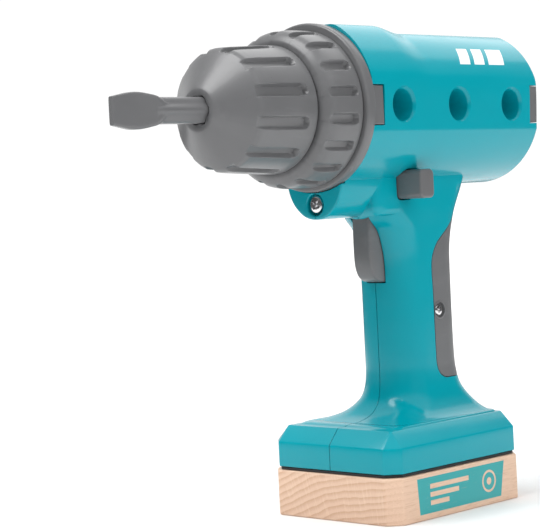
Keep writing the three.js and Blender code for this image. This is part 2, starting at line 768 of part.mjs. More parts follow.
function batteryDoor() {
  const clear = DOOR_OUTLINE.map(([x, z]) => {
    const dx = x < 25 ? GAP : 0;
    const dz = z < 50 ? GAP : (z > 86 ? -GAP * 0.8 : 0);
    return [x + dx, z + dz];
  });
  const grip = handleSolid(0).intersect(sidePrism(clear, [-20, 20]));
  const shell = grip.subtract(handleSolid(DOOR_WALL));
  const rim = rodY(3.1, DOOR_SCREW_X, [-13.3, -12.6], DOOR_SCREW_Z, 16)
    .intersect(sidePrism(clear, [-20, 20]));
  const grooves = [];
  for (let i = 0; i < GROOVE_COUNT; i += 1) {
    const z = GROOVE_FIRST + i * GROOVE_PITCH;
    grooves.push(box([24, 30], [-6, 6], [z - 0.45, z + 0.45]));
    for (const side of [-1, 1]) {
      const cut = box([22.7, 30], [-1.2, 1.2], [z - 0.45, z + 0.45]);
      grooves.push(cut.translate([0, side * 7, 0]));
    }
  }
  return without(shell.add(rim), [
    rodY(2.6, DOOR_SCREW_X, [-16, -12.2], DOOR_SCREW_Z, 16),
    rodY(1.1, DOOR_SCREW_X, [-16, -9], DOOR_SCREW_Z, 12),
    ...grooves,
  ]);
}

// Pan-head screw pointing up from the origin, with a hexagonal recess.
function turnedScrew(head, shank) {
  const top = rodZ(head.radius, 0, 0, [-head.height, 0], 16);
  const stem = rodZ(shank.radius, 0, 0, [-0.2, shank.length], 8);
  const recess = rodZ(head.radius * 0.36, 0, 0, [-head.height - 2, -head.height * 0.3], 6);
  return top.add(stem).subtract(recess);
}

function boltedUp(x, y, z, head, shank) {
  return turnedScrew(head, shank).translate([x, y, z]);
}

function boltedIn(x, y, z, head, shank) {
  return turnedScrew(head, shank).rotate([-90, 0, 0]).translate([x, y, z]);
}

function boltedBack(x, y, z, head, shank) {
  return turnedScrew(head, shank).rotate([0, 90, 0]).translate([x, y, z]);
}

// ------------------------------------------------------------------- base

function woodBlock() {
  const length = WOOD_HALF_LENGTH;
  const width = WOOD_HALF_WIDTH;
  const block = loft([
    octagon(length - 0.8, width - 0.8, FOOT_CORNER, 0),
    octagon(length, width, FOOT_CORNER, 0.8),
    octagon(length, width, FOOT_CORNER, WOOD_HEIGHT - 0.6),
    octagon(length - 0.6, width - 0.6, FOOT_CORNER, WOOD_HEIGHT),
  ]);
  const holes = BASE_SCREWS.flatMap(([x, y]) => [
    rodZ(3.4, x, y, [-1, 5.2], 14),
    rodZ(1.8, x, y, [-1, 20], 8),
  ]);
  return without(block, holes);
}

function basePlate() {
  const plate = loft([
    octagon(FOOT_HALF_LENGTH - 0.5, FOOT_HALF_WIDTH - 0.5, FOOT_CORNER, PLATE_BOTTOM),
    octagon(FOOT_HALF_LENGTH - 0.5, FOOT_HALF_WIDTH - 0.5, FOOT_CORNER, PLATE_TOP),
  ]);
  const plug = loft([
    octagon(32.6, 25.6, FOOT_CORNER, PLATE_TOP - 0.2),
    octagon(32.6, 25.6, FOOT_CORNER, FOOT_BOTTOM + 1.8),
  ]);
  const hollow = box([-30, 30], [-12, 12], [PLATE_TOP, 40]);
  const holes = BASE_SCREWS.map(([x, y]) => rodZ(1.8, x, y, [10, 30], 8));
  return without(plate.add(plug), [hollow, ...holes]);
}

function rearBand() {
  const z = [AXIS_Z - TAB_HALF, AXIS_Z + TAB_HALF];
  const across = box([54.3, BODY_REAR], [-25.9, 25.9], z);
  const ears = [box([52.5, 56], [-25.9, -22.9], z), box([52.5, 56], [22.9, 25.9], z)];
  const trim = bodySolid(0, BODY_FRONT, BODY_REAR);
  return union([across, ...ears]).intersect(trim);
}

// ---------------------------------------------------------------- assembly

const TEAL = [0x02a5ba, 0.35, 0];
const GREY = [0x77777a, 0.45, 0];
const BLACK = [0x161616, 0.6, 0];
const WOOD = [0xe8c8a4, 0.7, 0];
const STEEL = [0xc4c8cc, 0.25, 1];
const BRASS = [0xc9a24a, 0.35, 1];
const WHITE = [0xe9e9e4, 0.5, 0];
const CELL = [0x2d2f36, 0.4, 0.3];

function mesh(name, body, [color, roughness, metalness]) {
  const data = body.getMesh();
  const geometry = new THREE.BufferGeometry();
  const positions = new THREE.Float32BufferAttribute(data.vertProperties, 3);
  geometry.setAttribute("position", positions);
  geometry.setIndex(Array.from(data.triVerts));
  geometry.computeVertexNormals();
  const material = new THREE.MeshStandardMaterial({ color, roughness, metalness });
  const item = new THREE.Mesh(geometry, material);
  item.name = name;
  return item;
}

function assemble() {
  const drill = new THREE.Group();
  const add = (name, body, finish) => drill.add(mesh(name, body, finish));
  const shell = shellSolid();
  add("body_shell_left", shellHalf(shell, -1), TEAL);
  add("body_shell_right", shellHalf(shell, 1), TEAL);
  add("front_bezel", frontBezel(), GREY);
  add("rear_band", rearBand(), GREY);
  add("torque_ring", torqueRing(), GREY);
  add("chuck_sleeve", chuckSleeve(), GREY);
  add("spindle", spindle(), STEEL);
  add("spindle_bush", spindleBush(), BRASS);
  add("driver_bit", driverBit(), GREY);
  add("gearbox_case", gearboxCase(), WHITE);
  add("gearbox_cover", gearboxCover(), WHITE);
  add("output_gear", outputGear(), WHITE);
  add("lay_gear", layGear(), WHITE);
  add("lay_axle", layAxle(), STEEL);
  add("motor_can", motorCan(), STEEL);
  add("motor_end_cap", motorEndCap(), WHITE);
  add("motor_rotor", motorRotor(), STEEL);
  add("motor_pinion", motorPinion(), BRASS);
  add("trigger", trigger(), GREY);
  add("trigger_spring", triggerSpring(), STEEL);
  add("trigger_switch", triggerSwitch(), BLACK);
  add("direction_button", directionButton(), GREY);
  add("changeover_switch", changeoverSwitch(), BLACK);
  add("battery_tray", batteryTray(), BLACK);
  add("battery_cell_left", batteryCell(-1), CELL);
  add("battery_cell_right", batteryCell(1), CELL);
  add("contact_spring_left", contactSpring(-1), STEEL);
  add("contact_spring_right", contactSpring(1), STEEL);
  add("contact_plate_bottom", contactPlate(44.3, [-9.2, -2]), STEEL);
  add("contact_plate_bridge", contactPlate(44.3, [-1.6, 9.2]), STEEL);
  add("contact_plate_top", contactPlate(92.3, [-9.2, 9.2]), STEEL);
  add("battery_door", batteryDoor(), GREY);
  add("battery_door_screw", boltedIn(DOOR_SCREW_X, -12.3, DOOR_SCREW_Z,
    { radius: 1.9, height: 0.7 }, { radius: 0.8, length: 1.5 }), STEEL);
  add("housing_screw", boltedBack(CHIN_FRONT + 1.8, 0, CHIN_SCREW_Z,
    { radius: 3.05, height: 1.5 }, { radius: 1.3, length: 3.5 }), STEEL);
  add("wood_block", woodBlock(), WOOD);
  add("base_plate", basePlate(), BLACK);
  BASE_SCREWS.forEach(([x, y], i) => {
    add(`base_screw_${i + 1}`, boltedUp(x, y, 4.9, { radius: 2.9, height: 1.8 },
      { radius: 1.45, length: 21.6 }), STEEL);
  });
  return drill;
}

export default assemble();
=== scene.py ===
import math

import bmesh
import bpy
from mathutils import Matrix, Vector


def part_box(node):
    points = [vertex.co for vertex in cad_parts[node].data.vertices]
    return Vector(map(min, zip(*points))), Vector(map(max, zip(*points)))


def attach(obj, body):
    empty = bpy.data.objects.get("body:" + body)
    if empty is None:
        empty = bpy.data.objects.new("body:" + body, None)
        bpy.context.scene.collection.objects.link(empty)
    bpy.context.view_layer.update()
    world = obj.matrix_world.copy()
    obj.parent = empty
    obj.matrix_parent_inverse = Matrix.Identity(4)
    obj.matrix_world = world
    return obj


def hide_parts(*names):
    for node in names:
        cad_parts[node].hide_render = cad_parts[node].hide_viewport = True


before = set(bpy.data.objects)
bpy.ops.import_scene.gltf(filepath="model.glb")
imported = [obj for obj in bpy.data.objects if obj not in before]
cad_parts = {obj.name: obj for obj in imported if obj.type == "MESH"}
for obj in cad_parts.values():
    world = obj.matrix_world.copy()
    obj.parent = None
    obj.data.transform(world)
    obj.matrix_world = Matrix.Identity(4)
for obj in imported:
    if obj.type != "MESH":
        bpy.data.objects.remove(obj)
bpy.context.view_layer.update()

MM = 0.001
TURN = 2 * math.pi


def box_mm(node):
    """Lowest and highest corner of a frame node, in millimetres."""
    low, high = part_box(node)
    return [v / MM for v in low], [v / MM for v in high]


# ------------------------------------------------------------ driving sizes

CHUCK_LOW, CHUCK_HIGH = box_mm("chuck_sleeve")
RING_LOW, RING_HIGH = box_mm("torque_ring")
BEZEL_LOW, BEZEL_HIGH = box_mm("front_bezel")
BIT_LOW, BIT_HIGH = box_mm("driver_bit")
BUTTON_LOW, BUTTON_HIGH = box_mm("direction_button")
WOOD_LOW, WOOD_HIGH = box_mm("wood_block")
SHELL_LOW, SHELL_HIGH = box_mm("body_shell_left")

AXIS_Z = (CHUCK_LOW[2] + CHUCK_HIGH[2]) / 2
HALF_SEAM = 0.13
WALL = 2.2
BODY_FRONT = -34.9
BODY_REAR = SHELL_HIGH[0]
BODY_RADIUS = 27.3
BODY_FLAT = 25.9
BODY_UPPER_RADIUS = 27.7
SIDE_LEAN = 0.045
BODY_TOP = 25.75
HUMP_RISE = 2.4
HUMP_START = -1
HUMP_FULL = -15
SOCKET_X = (-18.7, 11.3, 41.3)
SOCKET_RADIUS = 5.3
SOCKET_DEPTH = 10
TAB_HALF = 6.5
TAB_GAP = 0.25
BEZEL_FLANGE = (BEZEL_LOW[0] + 15.4, -35.2)
BEZEL_RAISE = 1.1
RING_ROOM_RADIUS = 27
BEZEL_ROOM_RADIUS = 28.2
BAND_FRONT = 52.5
BAND_INSIDE = 22.9
BAND_OUTSIDE = 25.85
NECK_BOTTOM = 102.9
NECK_HALF = 12.75
NECK_ROUNDING = 2.4

FOOT_HALF_LENGTH = 35.5
FOOT_HALF_WIDTH = 28.4
FOOT_CORNER = 4.6
FOOT_BOTTOM = SHELL_LOW[2]
FOOT_BAND_TOP = 25.7
FOOT_TOP = 31.1
FOOT_INSET = 4.9

# Handle sections: height, front, rear, half width, front corner, rear corner
HANDLE = [
    (28, -29, 30, 22.8, 3, 3), (31.05, -27, 30, 22.8, 4, 3),
    (31.9, -19.5, 29.8, 20.9, 8, 5), (33.4, -13.6, 29.5, 18.5, 10, 6.5),
    (35.6, -10.4, 28.8, 16.5, 11, 7.6), (38.5, -8.5, 27.6, 14.8, 12, 8.6),
    (42, -7.7, 26.2, 13.6, 12, 9.2), (47, -7.4, 25.1, 13.1, 12, 9.4),
    (53, -7.4, 24.6, 13, 12, 9.5), (88, -7.8, 24.5, 13, 12, 9.5),
    (92, -8.6, 24.9, 13, 12, 9.5), (95.4, -9.6, 25.6, 13, 12, 9.5),
    (98.5, -11.2, 26.5, 13, 12, 9.5), (100.8, -13.5, 27.3, 13, 12, 9.5),
    (104, -16, 28.6, 13, 12, 9.5), (110, -20, 31.8, 12.8, 11, 9),
    (118, -22, 36, 12.8, 11, 9),
]

DOOR_EDGE = [
    (16, 44.4), (13, 44.5), (10, 46.2), (8.6, 49.5), (8.4, 54), (8.2, 76), (8, 83),
    (8.6, 87.5), (11.3, 92), (16.1, 96), (21.7, 100.3), (25.6, 104.2), (32, 112),
]
DOOR_WALL = 1.8
GROOVES = 8
GROOVE_FIRST = 50.3
GROOVE_PITCH = 5.2
GROOVE_HALF = 0.45
GROOVE_REACH = 8.4
GROOVE_FLOOR = 23.95
DOOR_SCREW = (11.3, 68.5)
DOOR_SCREW_SEAT = -12.3

CHIN_FRONT = -36.8
CHIN_REAR = -17
CHIN_SCREW_Z = 107.9
CHIN_RECESS = 2.1
CHIN_SCREW_HOLE = 1.6
# Right half of the chin seen from the front: half width and height
CHIN_EDGE = [
    (12.55, 117), (12.5, 115), (12.1, 112.6), (11.2, 110.2), (10, 108), (8.2, 106),
    (5.6, 104), (2.8, 102.98), (0, 102.72),
]

CHUCK_PROFILE = [
    (-89.7, 5.9), (-89.7, 6.8), (-89.2, 7.7), (-81.4, 19.1), (-79.6, 20.2), (-56.5, 21.4),
    (-56, 20.9),
]
CHUCK_POCKETS = 12
CHUCK_POCKET = (-85, -60, 2.1)  # start, end, half width
CHUCK_POCKET_FLOOR = 19.3
CHUCK_TAPER = 0.03
RING_POCKETS = 18
RING_POCKET = (-54.4, -41.8, 1.8)
RING_POCKET_DEPTH = 1.9
SHANK_RADIUS = 4.6
HOLE_RADIUS = 4.95
LOBES = 6

TRIGGER_FACE = -14
TRIGGER_HALF = 4
TRIGGER_TOP = 104.6
BASE_SCREWS = ((-26, -17), (26, -17), (-26, 17), (26, 17))
BASE_SCREW_SEAT = 4.9
CELL_RADIUS = 5.25

PANEL = (2.2, 14.45)
PANEL_MARK = (14.9, 8.4)
PANEL_BARS = (  # bottom, top, left end, right end
    (10.4, 12, -17.5, 3.5), (7.6, 9.2, -17.5, -2), (4.8, 6.4, -17.5, -7.5),
)
BODY_BARS = ((15.6, 21.4), (23.8, 29.6), (32, 41))
BODY_BARS_HEIGHT = (154.2, 160)
BODY_BARS_SLANT = 0.62

CAMERA_PLACE = (-513.37, -436.03, 113.75)
CAMERA_TURN = (43.89, -2.2294, -2.8176)  # yaw, pitch, roll
CAMERA_LENS = 127.13


# --------------------------------------------------------- workshop helpers

def deselect():
    bpy.ops.object.select_all(action="DESELECT")


def only(obj):
    """Leaves one object selected and active."""
    deselect()
    obj.select_set(True)
    bpy.context.view_layer.objects.active = obj


def place_ring(obj, ring):
    """Moves the selected ring of points to its place."""
    mesh = bmesh.from_edit_mesh(obj.data)
    spot = mesh.verts.layers.int["spot"]
    for vert in mesh.verts:
        if vert.select:
            vert.co = Vector(ring[vert[spot]]) * MM


def loft(name, rings, closed=False):
    """Extrudes a circle from ring to ring; a closed loft meets its first ring again."""
    deselect()
    bpy.ops.mesh.primitive_circle_add(
        vertices=len(rings[0]), radius=MM, fill_type="NOTHING" if closed else "NGON"
    )
    obj = bpy.context.object
    obj.name = name
    bpy.ops.object.mode_set(mode="EDIT")
    bpy.ops.mesh.select_all(action="SELECT")
    mesh = bmesh.from_edit_mesh(obj.data)
    spot = mesh.verts.layers.int.new("spot")
    for number, vert in enumerate(mesh.verts):
        vert[spot] = number
    place_ring(obj, rings[0])
    for ring in rings[1:] + (rings[:1] if closed else []):
        bpy.ops.mesh.extrude_region_move()
        place_ring(obj, ring)
    bpy.ops.mesh.select_all(action="SELECT")
    if closed:
        bpy.ops.mesh.remove_doubles(threshold=0.002 * MM)
    bpy.ops.mesh.normals_make_consistent(inside=False)
    bpy.ops.object.mode_set(mode="OBJECT")
    obj.data.attributes.remove(obj.data.attributes["spot"])
    return obj


def block(name, x, y, z, rounding=0.0):
    """Box between two limits on each axis, its edges rounded."""
    deselect()
    bpy.ops.mesh.primitive_cube_add(size=1)
    obj = bpy.context.object
    obj.name = name
    size = [(b - a) * MM for a, b in (x, y, z)]
    middle = [(a + b) / 2 * MM for a, b in (x, y, z)]
    obj.data.transform(Matrix.Translation(middle) @ Matrix.Diagonal((*size, 1)))
    if rounding:
        round_edges(obj, rounding, 3)
    return obj


def along(axis, centre, a, reach, angle):
    """Point at a distance from a line parallel to one axis."""
    u, v = reach * math.cos(angle), reach * math.sin(angle)
    if axis == "X":
        return (a, centre[1] + u, centre[2] + v)
    if axis == "Y":
        return (centre[0] + u, a, centre[2] + v)
    return (centre[0] + u, centre[1] + v, a)


def turned(name, profile, axis, centre, angles=64, closed=False, reach=None):
    """Turns a list of (along, radius) about a line; reach may change a radius."""
    if isinstance(angles, int):
        angles = [TURN * i / angles for i in range(angles)]
    rings = []
    for a, radius in profile:
        rings.append([
            along(axis, centre, a, reach(a, radius, t) if reach else radius, t) for t in angles
        ])
    return loft(name, rings, closed)


def apply_modifier(obj, kind, **settings):
    only(obj)
    modifier = obj.modifiers.new("work", kind)
    for key, value in settings.items():
        setattr(modifier, key, value)
    bpy.ops.object.modifier_apply(modifier=modifier.name)


def round_edges(obj, width, segments=2, angle=30):
    apply_modifier(
        obj, "BEVEL", width=width * MM, segments=segments, limit_method="ANGLE",
        angle_limit=math.radians(angle), use_clamp_overlap=True,
    )


def combine(obj, tools, operation):
    """Boolean with each tool in turn; the tools are used up."""
    for tool in tools:
        apply_modifier(obj, "BOOLEAN", operation=operation, object=tool, solver="EXACT")
        bpy.data.objects.remove(tool)
    return obj


def copy_of(obj, name):
    twin = obj.copy()
    twin.data = obj.data.copy()
    twin.name = name
    bpy.context.scene.collection.objects.link(twin)
    return twin


def join(name, objects):
    deselect()
    for obj in objects:
        obj.select_set(True)
    bpy.context.view_layer.objects.active = objects[0]
    bpy.ops.object.join()
    objects[0].name = name
    return objects[0]


def smooth(obj, angle=32):
    only(obj)
    bpy.ops.object.shade_smooth_by_angle(angle=math.radians(angle))


def finish_piece(obj, material, body, nodes, angle=32):
    """Gives a piece its finish and its body, and hides the frame nodes it stands for."""
    smooth(obj, angle)
    obj.data.name = obj.name
    obj.data.materials.clear()
    obj.data.materials.append(material)
    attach(obj, body)
    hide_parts(*nodes)


# --------------------------------------------------------------- outlines

def gap_between(a, b):
    return max(math.dist(a, b), 1e-6)


def blend_rows(a, b, share):
    return tuple(p + (q - p) * share for p, q in zip(a, b))


def curve(points, step, closed=False):
    """Rows on a smooth curve through the given rows, about step apart."""
    count = len(points)
    out = []
    for i in range(count if closed else count - 1):
        b, c = points[i], points[(i + 1) % count]
        a = points[i - 1] if closed or i else blend_rows(b, c, -1)
        d = points[(i + 2) % count] if closed or i + 2 < count else blend_rows(b, c, 2)
        knots = [0.0]
        for p, q in ((a, b), (b, c), (c, d)):
            knots.append(knots[-1] + gap_between(p, q) ** 0.5)
        t0, t1, t2, t3 = knots
        pieces = max(1, math.ceil(gap_between(b, c) / step))
        for k in range(pieces):
            t = t1 + (t2 - t1) * k / pieces
            ab = blend_rows(a, b, (t - t0) / (t1 - t0))
            bc = blend_rows(b, c, (t - t1) / (t2 - t1))
            cd = blend_rows(c, d, (t - t2) / (t3 - t2))
            abc = blend_rows(ab, bc, (t - t0) / (t2 - t0))
            bcd = blend_rows(bc, cd, (t - t1) / (t3 - t1))
            out.append(blend_rows(abc, bcd, (t - t1) / (t2 - t1)))
    if not closed:
        out.append(tuple(points[-1]))
    return out


def soften(points, passes=2, cut=0.25, closed=False):
    """Cuts the corners of a polyline again and again, which rounds them."""
    for _ in range(passes):
        pairs = list(zip(points, points[1:] + points[:1]))
        if not closed:
            pairs = pairs[:-1]
        fresh = []
        for a, b in pairs:
            fresh += [blend_rows(a, b, cut), blend_rows(a, b, 1 - cut)]
        if not closed:
            fresh = [points[0]] + fresh[1:-1] + [points[-1]]
        points = fresh
    return points


def drawn_in(points, amount):
    """Closed outline moved inwards by an amount."""
    count = len(points)
    area = sum(
        points[i][0] * points[(i + 1) % count][1] - points[(i + 1) % count][0] * points[i][1]
        for i in range(count)
    )
    side = 1 if area > 0 else -1
    moved = []
    for i, (u, v) in enumerate(points):
        a, b = points[i - 1], points[(i + 1) % count]
        du, dv = b[0] - a[0], b[1] - a[1]
        length = math.hypot(du, dv) or 1
        moved.append((u - side * amount * dv / length, v + side * amount * du / length))
    return moved


def slab(name, outline, y, rounding=0.0, steps=5):
    """Plate with an (x, z) outline between two heights of y, its rims rounded."""
    levels = []
    if rounding:
        for i in range(steps + 1):
            angle = math.pi / 2 * i / steps
            levels.append((rounding * (1 - math.sin(angle)), rounding * (1 - math.cos(angle))))
    else:
        levels.append((0, 0))
    rings = []
    for inset, depth in levels:
        rings.append([(u, y[0] + depth, v) for u, v in drawn_in(outline, inset)])
    for inset, depth in reversed(levels):
        rings.append([(u, y[1] - depth, v) for u, v in drawn_in(outline, inset)])
    return loft(name, rings)


def smoothstep(value, low, high):
    share = min(max((value - low) / (high - low), 0), 1)
    return share * share * (3 - 2 * share)


# ------------------------------------------------------------ shared forms

def soft_min(a, b, width):
    """Smaller of two numbers, with a soft change over a width."""
    near = max(width - abs(a - b), 0) / width
    return min(a, b) - near * near * width / 4


CREASE = math.asin(math.sqrt(BODY_RADIUS ** 2 - BODY_FLAT ** 2) / BODY_RADIUS)
UPPER = [-CREASE + (math.pi + 2 * CREASE) * i / 132 for i in range(132)]
LOWER = [math.pi + CREASE + (math.pi - 2 * CREASE) * i / 100 for i in range(100)]


def body_ring(x, inset, angles):
    """Ring of points across the body, drawn in by inset."""
    rise = smoothstep(HUMP_START - x, 0, HUMP_START - HUMP_FULL)
    radius = BODY_RADIUS - inset
    stretch = 1 + rise * HUMP_RISE / (BODY_TOP - inset)
    ring = []
    for angle in angles:
        side, up = abs(math.cos(angle)), math.sin(angle)
        reach = radius + (BODY_UPPER_RADIUS - BODY_RADIUS) * smoothstep(up, -0.25, 0.3)
        if up > -0.5:
            soft = 1.1 if up > 0 else 0.02
            flat = BODY_FLAT - inset + SIDE_LEAN * BODY_RADIUS * math.sin(CREASE)
            reach = soft_min(reach, flat / max(side - SIDE_LEAN * up, 1e-3), soft)
        if up > 0.5:
            reach = soft_min(reach, (BODY_TOP - inset) / up, 0.7)
        height = reach * up
        ring.append((x, reach * math.cos(angle), AXIS_Z + height * (stretch if up > 0 else 1)))
    return ring


def body_form(name, inset, front, rear, angles=None):
    angles = angles or UPPER + LOWER
    stations = [(front, 0)] + [
        (HUMP_FULL + (HUMP_START - HUMP_FULL) * i / 16, 0) for i in range(17)
    ]
    edge = 1.6
    for i in range(7):
        angle = math.pi / 2 * i / 6
        stations.append((rear - edge * (1 - math.sin(angle)), edge * (1 - math.cos(angle))))
    return loft(name, [body_ring(x, inset + more, angles) for x, more in stations])


def handle_ring(row, inset, steps=14):
    """Rounded four-cornered ring of points across the handle."""
    z, front, rear, half, front_corner, rear_corner = row
    corners = (
        (front, -1, -1, front_corner), (rear, 1, -1, rear_corner),
        (rear, 1, 1, rear_corner), (front, -1, 1, front_corner),
    )
    ring = []
    for k, (x, sx, sy, corner) in enumerate(corners):
        radius = max(corner - inset, 0.5)
        centre_x = x - sx * (inset + radius)
        centre_y = sy * (half - inset - radius)
        for i in range(steps + 1):
            angle = math.pi + (k + i / steps) * math.pi / 2
            ring.append((
                centre_x + radius * math.cos(angle), centre_y + radius * math.sin(angle), z,
            ))
    return ring


def handle_form(name, inset, step=1.1):
    rows = curve(HANDLE, step)
    return loft(name, [handle_ring(row, inset) for row in rows])


def octagon(half_length, half_width, corner, z):
    a, b, c = half_length, half_width, corner
    return [
        (-a + c, -b, z), (a - c, -b, z), (a, -b + c, z), (a, b - c, z),
        (a - c, b, z), (-a + c, b, z), (-a, b - c, z), (-a, -b + c, z),
    ]


def foot_form(name, inset, bottom, drop):
    length, width = FOOT_HALF_LENGTH - inset, FOOT_HALF_WIDTH - inset
    return loft(name, [
        octagon(length, width, FOOT_CORNER, bottom),
        octagon(length, width, FOOT_CORNER, FOOT_BAND_TOP - drop / 2),
        octagon(length - FOOT_INSET, width - FOOT_INSET, 0.35, FOOT_TOP - drop),
    ])


def neck_form(name):
    """Block between the body and the handle, its lower edges rounded."""
    front = [(-20, 114)] + curve([(-20, 108), (-19.6, 104.6), (-18, NECK_BOTTOM)], 0.7)
    rear = [(-8, NECK_BOTTOM)] + curve([(0, NECK_BOTTOM), (20, 106), (28, 114)], 2)
    outline = [(-20, 122)] + front + rear + [(28, 122)]
    levels = []
    for i in range(8):
        t = math.pi / 2 * i / 7
        levels.append((NECK_ROUNDING * (1 - math.sin(t)), NECK_ROUNDING * (1 - math.cos(t))))
    levels += [(drop, 2 * NECK_HALF - shift) for drop, shift in reversed(levels)]
    rings = []
    for drop, shift in levels:
        rings.append([
            (
                x + (drop * 2 if x < -17 else 0), shift - NECK_HALF,
                z + drop * (1 - smoothstep(z, 104.5, 112)),
            )
            for x, z in outline
        ])
    return loft(name, rings)


def chin_form(name):
    """Rounded front of the neck, which carries the housing screw."""
    half = curve(CHIN_EDGE, 0.6)
    outline = [(-y, z) for y, z in half] + [(y, z) for y, z in reversed(half[:-1])]
    middle_wall = BODY_RADIUS - WALL / 2
    for y in (9, 6, 3, 0, -3, -6, -9):
        outline.append((y, AXIS_Z - math.sqrt(middle_wall ** 2 - y * y)))
    edge = 0.8
    stations = []
    for i in range(6):
        t = math.pi / 2 * i / 5
        stations.append((CHIN_FRONT + edge * (1 - math.cos(t)), edge * (1 - math.sin(t))))
    stations.append((CHIN_REAR, 0))
    rings = []
    for x, inset in stations:
        rings.append([(x, y, z) for y, z in drawn_in(outline, inset)])
    return loft(name, rings)


# ---------------------------------------------------------------- finishes

class Value:
    """A shader socket that takes part in arithmetic."""

    def __init__(self, finish, socket):
        self.finish = finish
        self.socket = socket

    def maths(self, operation, other=0.0, swapped=False, clamp=False):
        first, second = (other, self) if swapped else (self, other)
        return self.finish.node(
            "ShaderNodeMath", {"operation": operation, "use_clamp": clamp},
            {0: first, 1: second},
        )

    def __add__(self, other):
        return self.maths("ADD", other)

    def __sub__(self, other):
        return self.maths("SUBTRACT", other)

    def __rsub__(self, other):
        return self.maths("SUBTRACT", other, True)

    def __mul__(self, other):
        return self.maths("MULTIPLY", other)

    def __truediv__(self, other):
        return self.maths("DIVIDE", other)

    def __rtruediv__(self, other):
        return self.maths("DIVIDE", other, True)

    def __pow__(self, other):
        return self.maths("POWER", other)

    __radd__ = __add__
    __rmul__ = __mul__

    def size(self):
        return self.maths("ABSOLUTE")

    def lower(self, other):
        return self.maths("MINIMUM", other)

    def higher(self, other):
        return self.maths("MAXIMUM", other)

    def over(self, edge, width):
        """0 below an edge, 1 above it, changing over a width."""
        return (self - edge).maths("MULTIPLY", 1 / width).maths("ADD", 0.5, clamp=True)


class Finish:
    """A procedural material, or the world, under construction."""

    def __init__(self, name, world=None, **constants):
        self.owner = world or bpy.data.materials.new(name)
        self.owner.use_nodes = True
        self.tree = self.owner.node_tree
        self.shader = self.tree.nodes["Background" if world else "Principled BSDF"]
        for key, value in constants.items():
            self.shader.inputs[key.replace("_", " ")].default_value = value

    def node(self, kind, settings=None, sockets=None, out=0):
        """Adds a node, sets it up, then fills its sockets with values or links."""
        node = self.tree.nodes.new(kind)
        for key, value in (settings or {}).items():
            if key == "stops":
                ramp = node.color_ramp
                while len(ramp.elements) < len(value):
                    ramp.elements.new(0.5)
                for element, (position, color) in zip(ramp.elements, value):
                    element.position = position
                    element.color = (*color, 1)
            else:
                setattr(node, key, value)
        for key, value in (sockets or {}).items():
            if isinstance(value, Value):
                self.tree.links.new(value.socket, node.inputs[key])
            else:
                node.inputs[key].default_value = value
        return Value(self, node.outputs[out])

    def place(self):
        """Object position, as a vector and as x, y, z in millimetres."""
        vector = self.node("ShaderNodeTexCoord", out="Object")
        parts = [
            self.node("ShaderNodeSeparateXYZ", sockets={0: vector}, out=i) * 1000
            for i in range(3)
        ]
        return vector, *parts

    def noise(self, vector, grain, stretch=(1, 1, 1), detail=2.0, roughness=0.5, distortion=0.0):
        """Noise from 0 to 1 with features about grain millimetres across."""
        scaled = self.node("ShaderNodeMapping", {"vector_type": "POINT"}, {
            "Vector": vector, "Scale": tuple(1 / s for s in stretch),
        })
        return self.node("ShaderNodeTexNoise", {"noise_dimensions": "3D"}, {
            "Vector": scaled, "Scale": 1000 / grain, "Detail": detail,
            "Roughness": roughness, "Distortion": distortion,
        })

    def mix(self, factor, a, b, blend="MIX"):
        def colour(value):
            return value if isinstance(value, Value) else (*value, 1)
        return self.node("ShaderNodeMix", {"data_type": "RGBA", "blend_type": blend}, {
            0: factor, 6: colour(a), 7: colour(b),
        }, out=2)

    def bump(self, height, distance, strength=1.0, rounded=0.0):
        sockets = {"Height": height, "Distance": distance * MM, "Strength": strength}
        if rounded:
            sockets["Normal"] = self.node(
                "ShaderNodeBevel", {"samples": 4}, {"Radius": rounded * MM}
            )
        return self.node("ShaderNodeBump", None, sockets)

    def feed(self, **sockets):
        for key, value in sockets.items():
            self.tree.links.new(value.socket, self.shader.inputs[key.replace("_", " ")])
        return self.owner


def within(value, low, high, width=0.12):
    """1 between two limits, with soft borders."""
    return value.over(low, width) * (1 - value.over(high, width))


def teal_plastic():
    """Glossy moulded turquoise with three slanted white bars printed on each side."""
    f = Finish("teal_plastic", Specular_IOR_Level=0.36, IOR=1.47)
    spot, x, y, z = f.place()
    cloud = f.noise(spot, 24, detail=3)
    speck = f.noise(spot, 1.1, detail=3)
    scuff = f.noise(spot, 4, (4, 4, 1), detail=3, roughness=0.55)
    peel = f.noise(spot, 1.6, detail=2)
    base = f.mix(cloud, (0.0, 0.295, 0.36), (0.0, 0.32, 0.39))
    base = f.mix(speck.over(0.66, 0.2) * 0.12, base, (0.0, 0.34, 0.43))
    lean = x - (z - 154) * BODY_BARS_SLANT
    bars = 0
    for start, end in BODY_BARS:
        bars = within(lean, start, end) + bars
    printed = bars * within(z, *BODY_BARS_HEIGHT) * y.size().over(12, 1)
    base = f.mix(printed, base, (0.86, 0.87, 0.86))
    rough = 0.15 + cloud * 0.04 + scuff.over(0.6, 0.25) * 0.06 + printed * 0.15
    height = peel * 0.25 + scuff * 0.06 + printed * 1.2
    return f.feed(
        Base_Color=base, Roughness=rough, Normal=f.bump(height, 0.012, 1.0, rounded=0.3)
    )


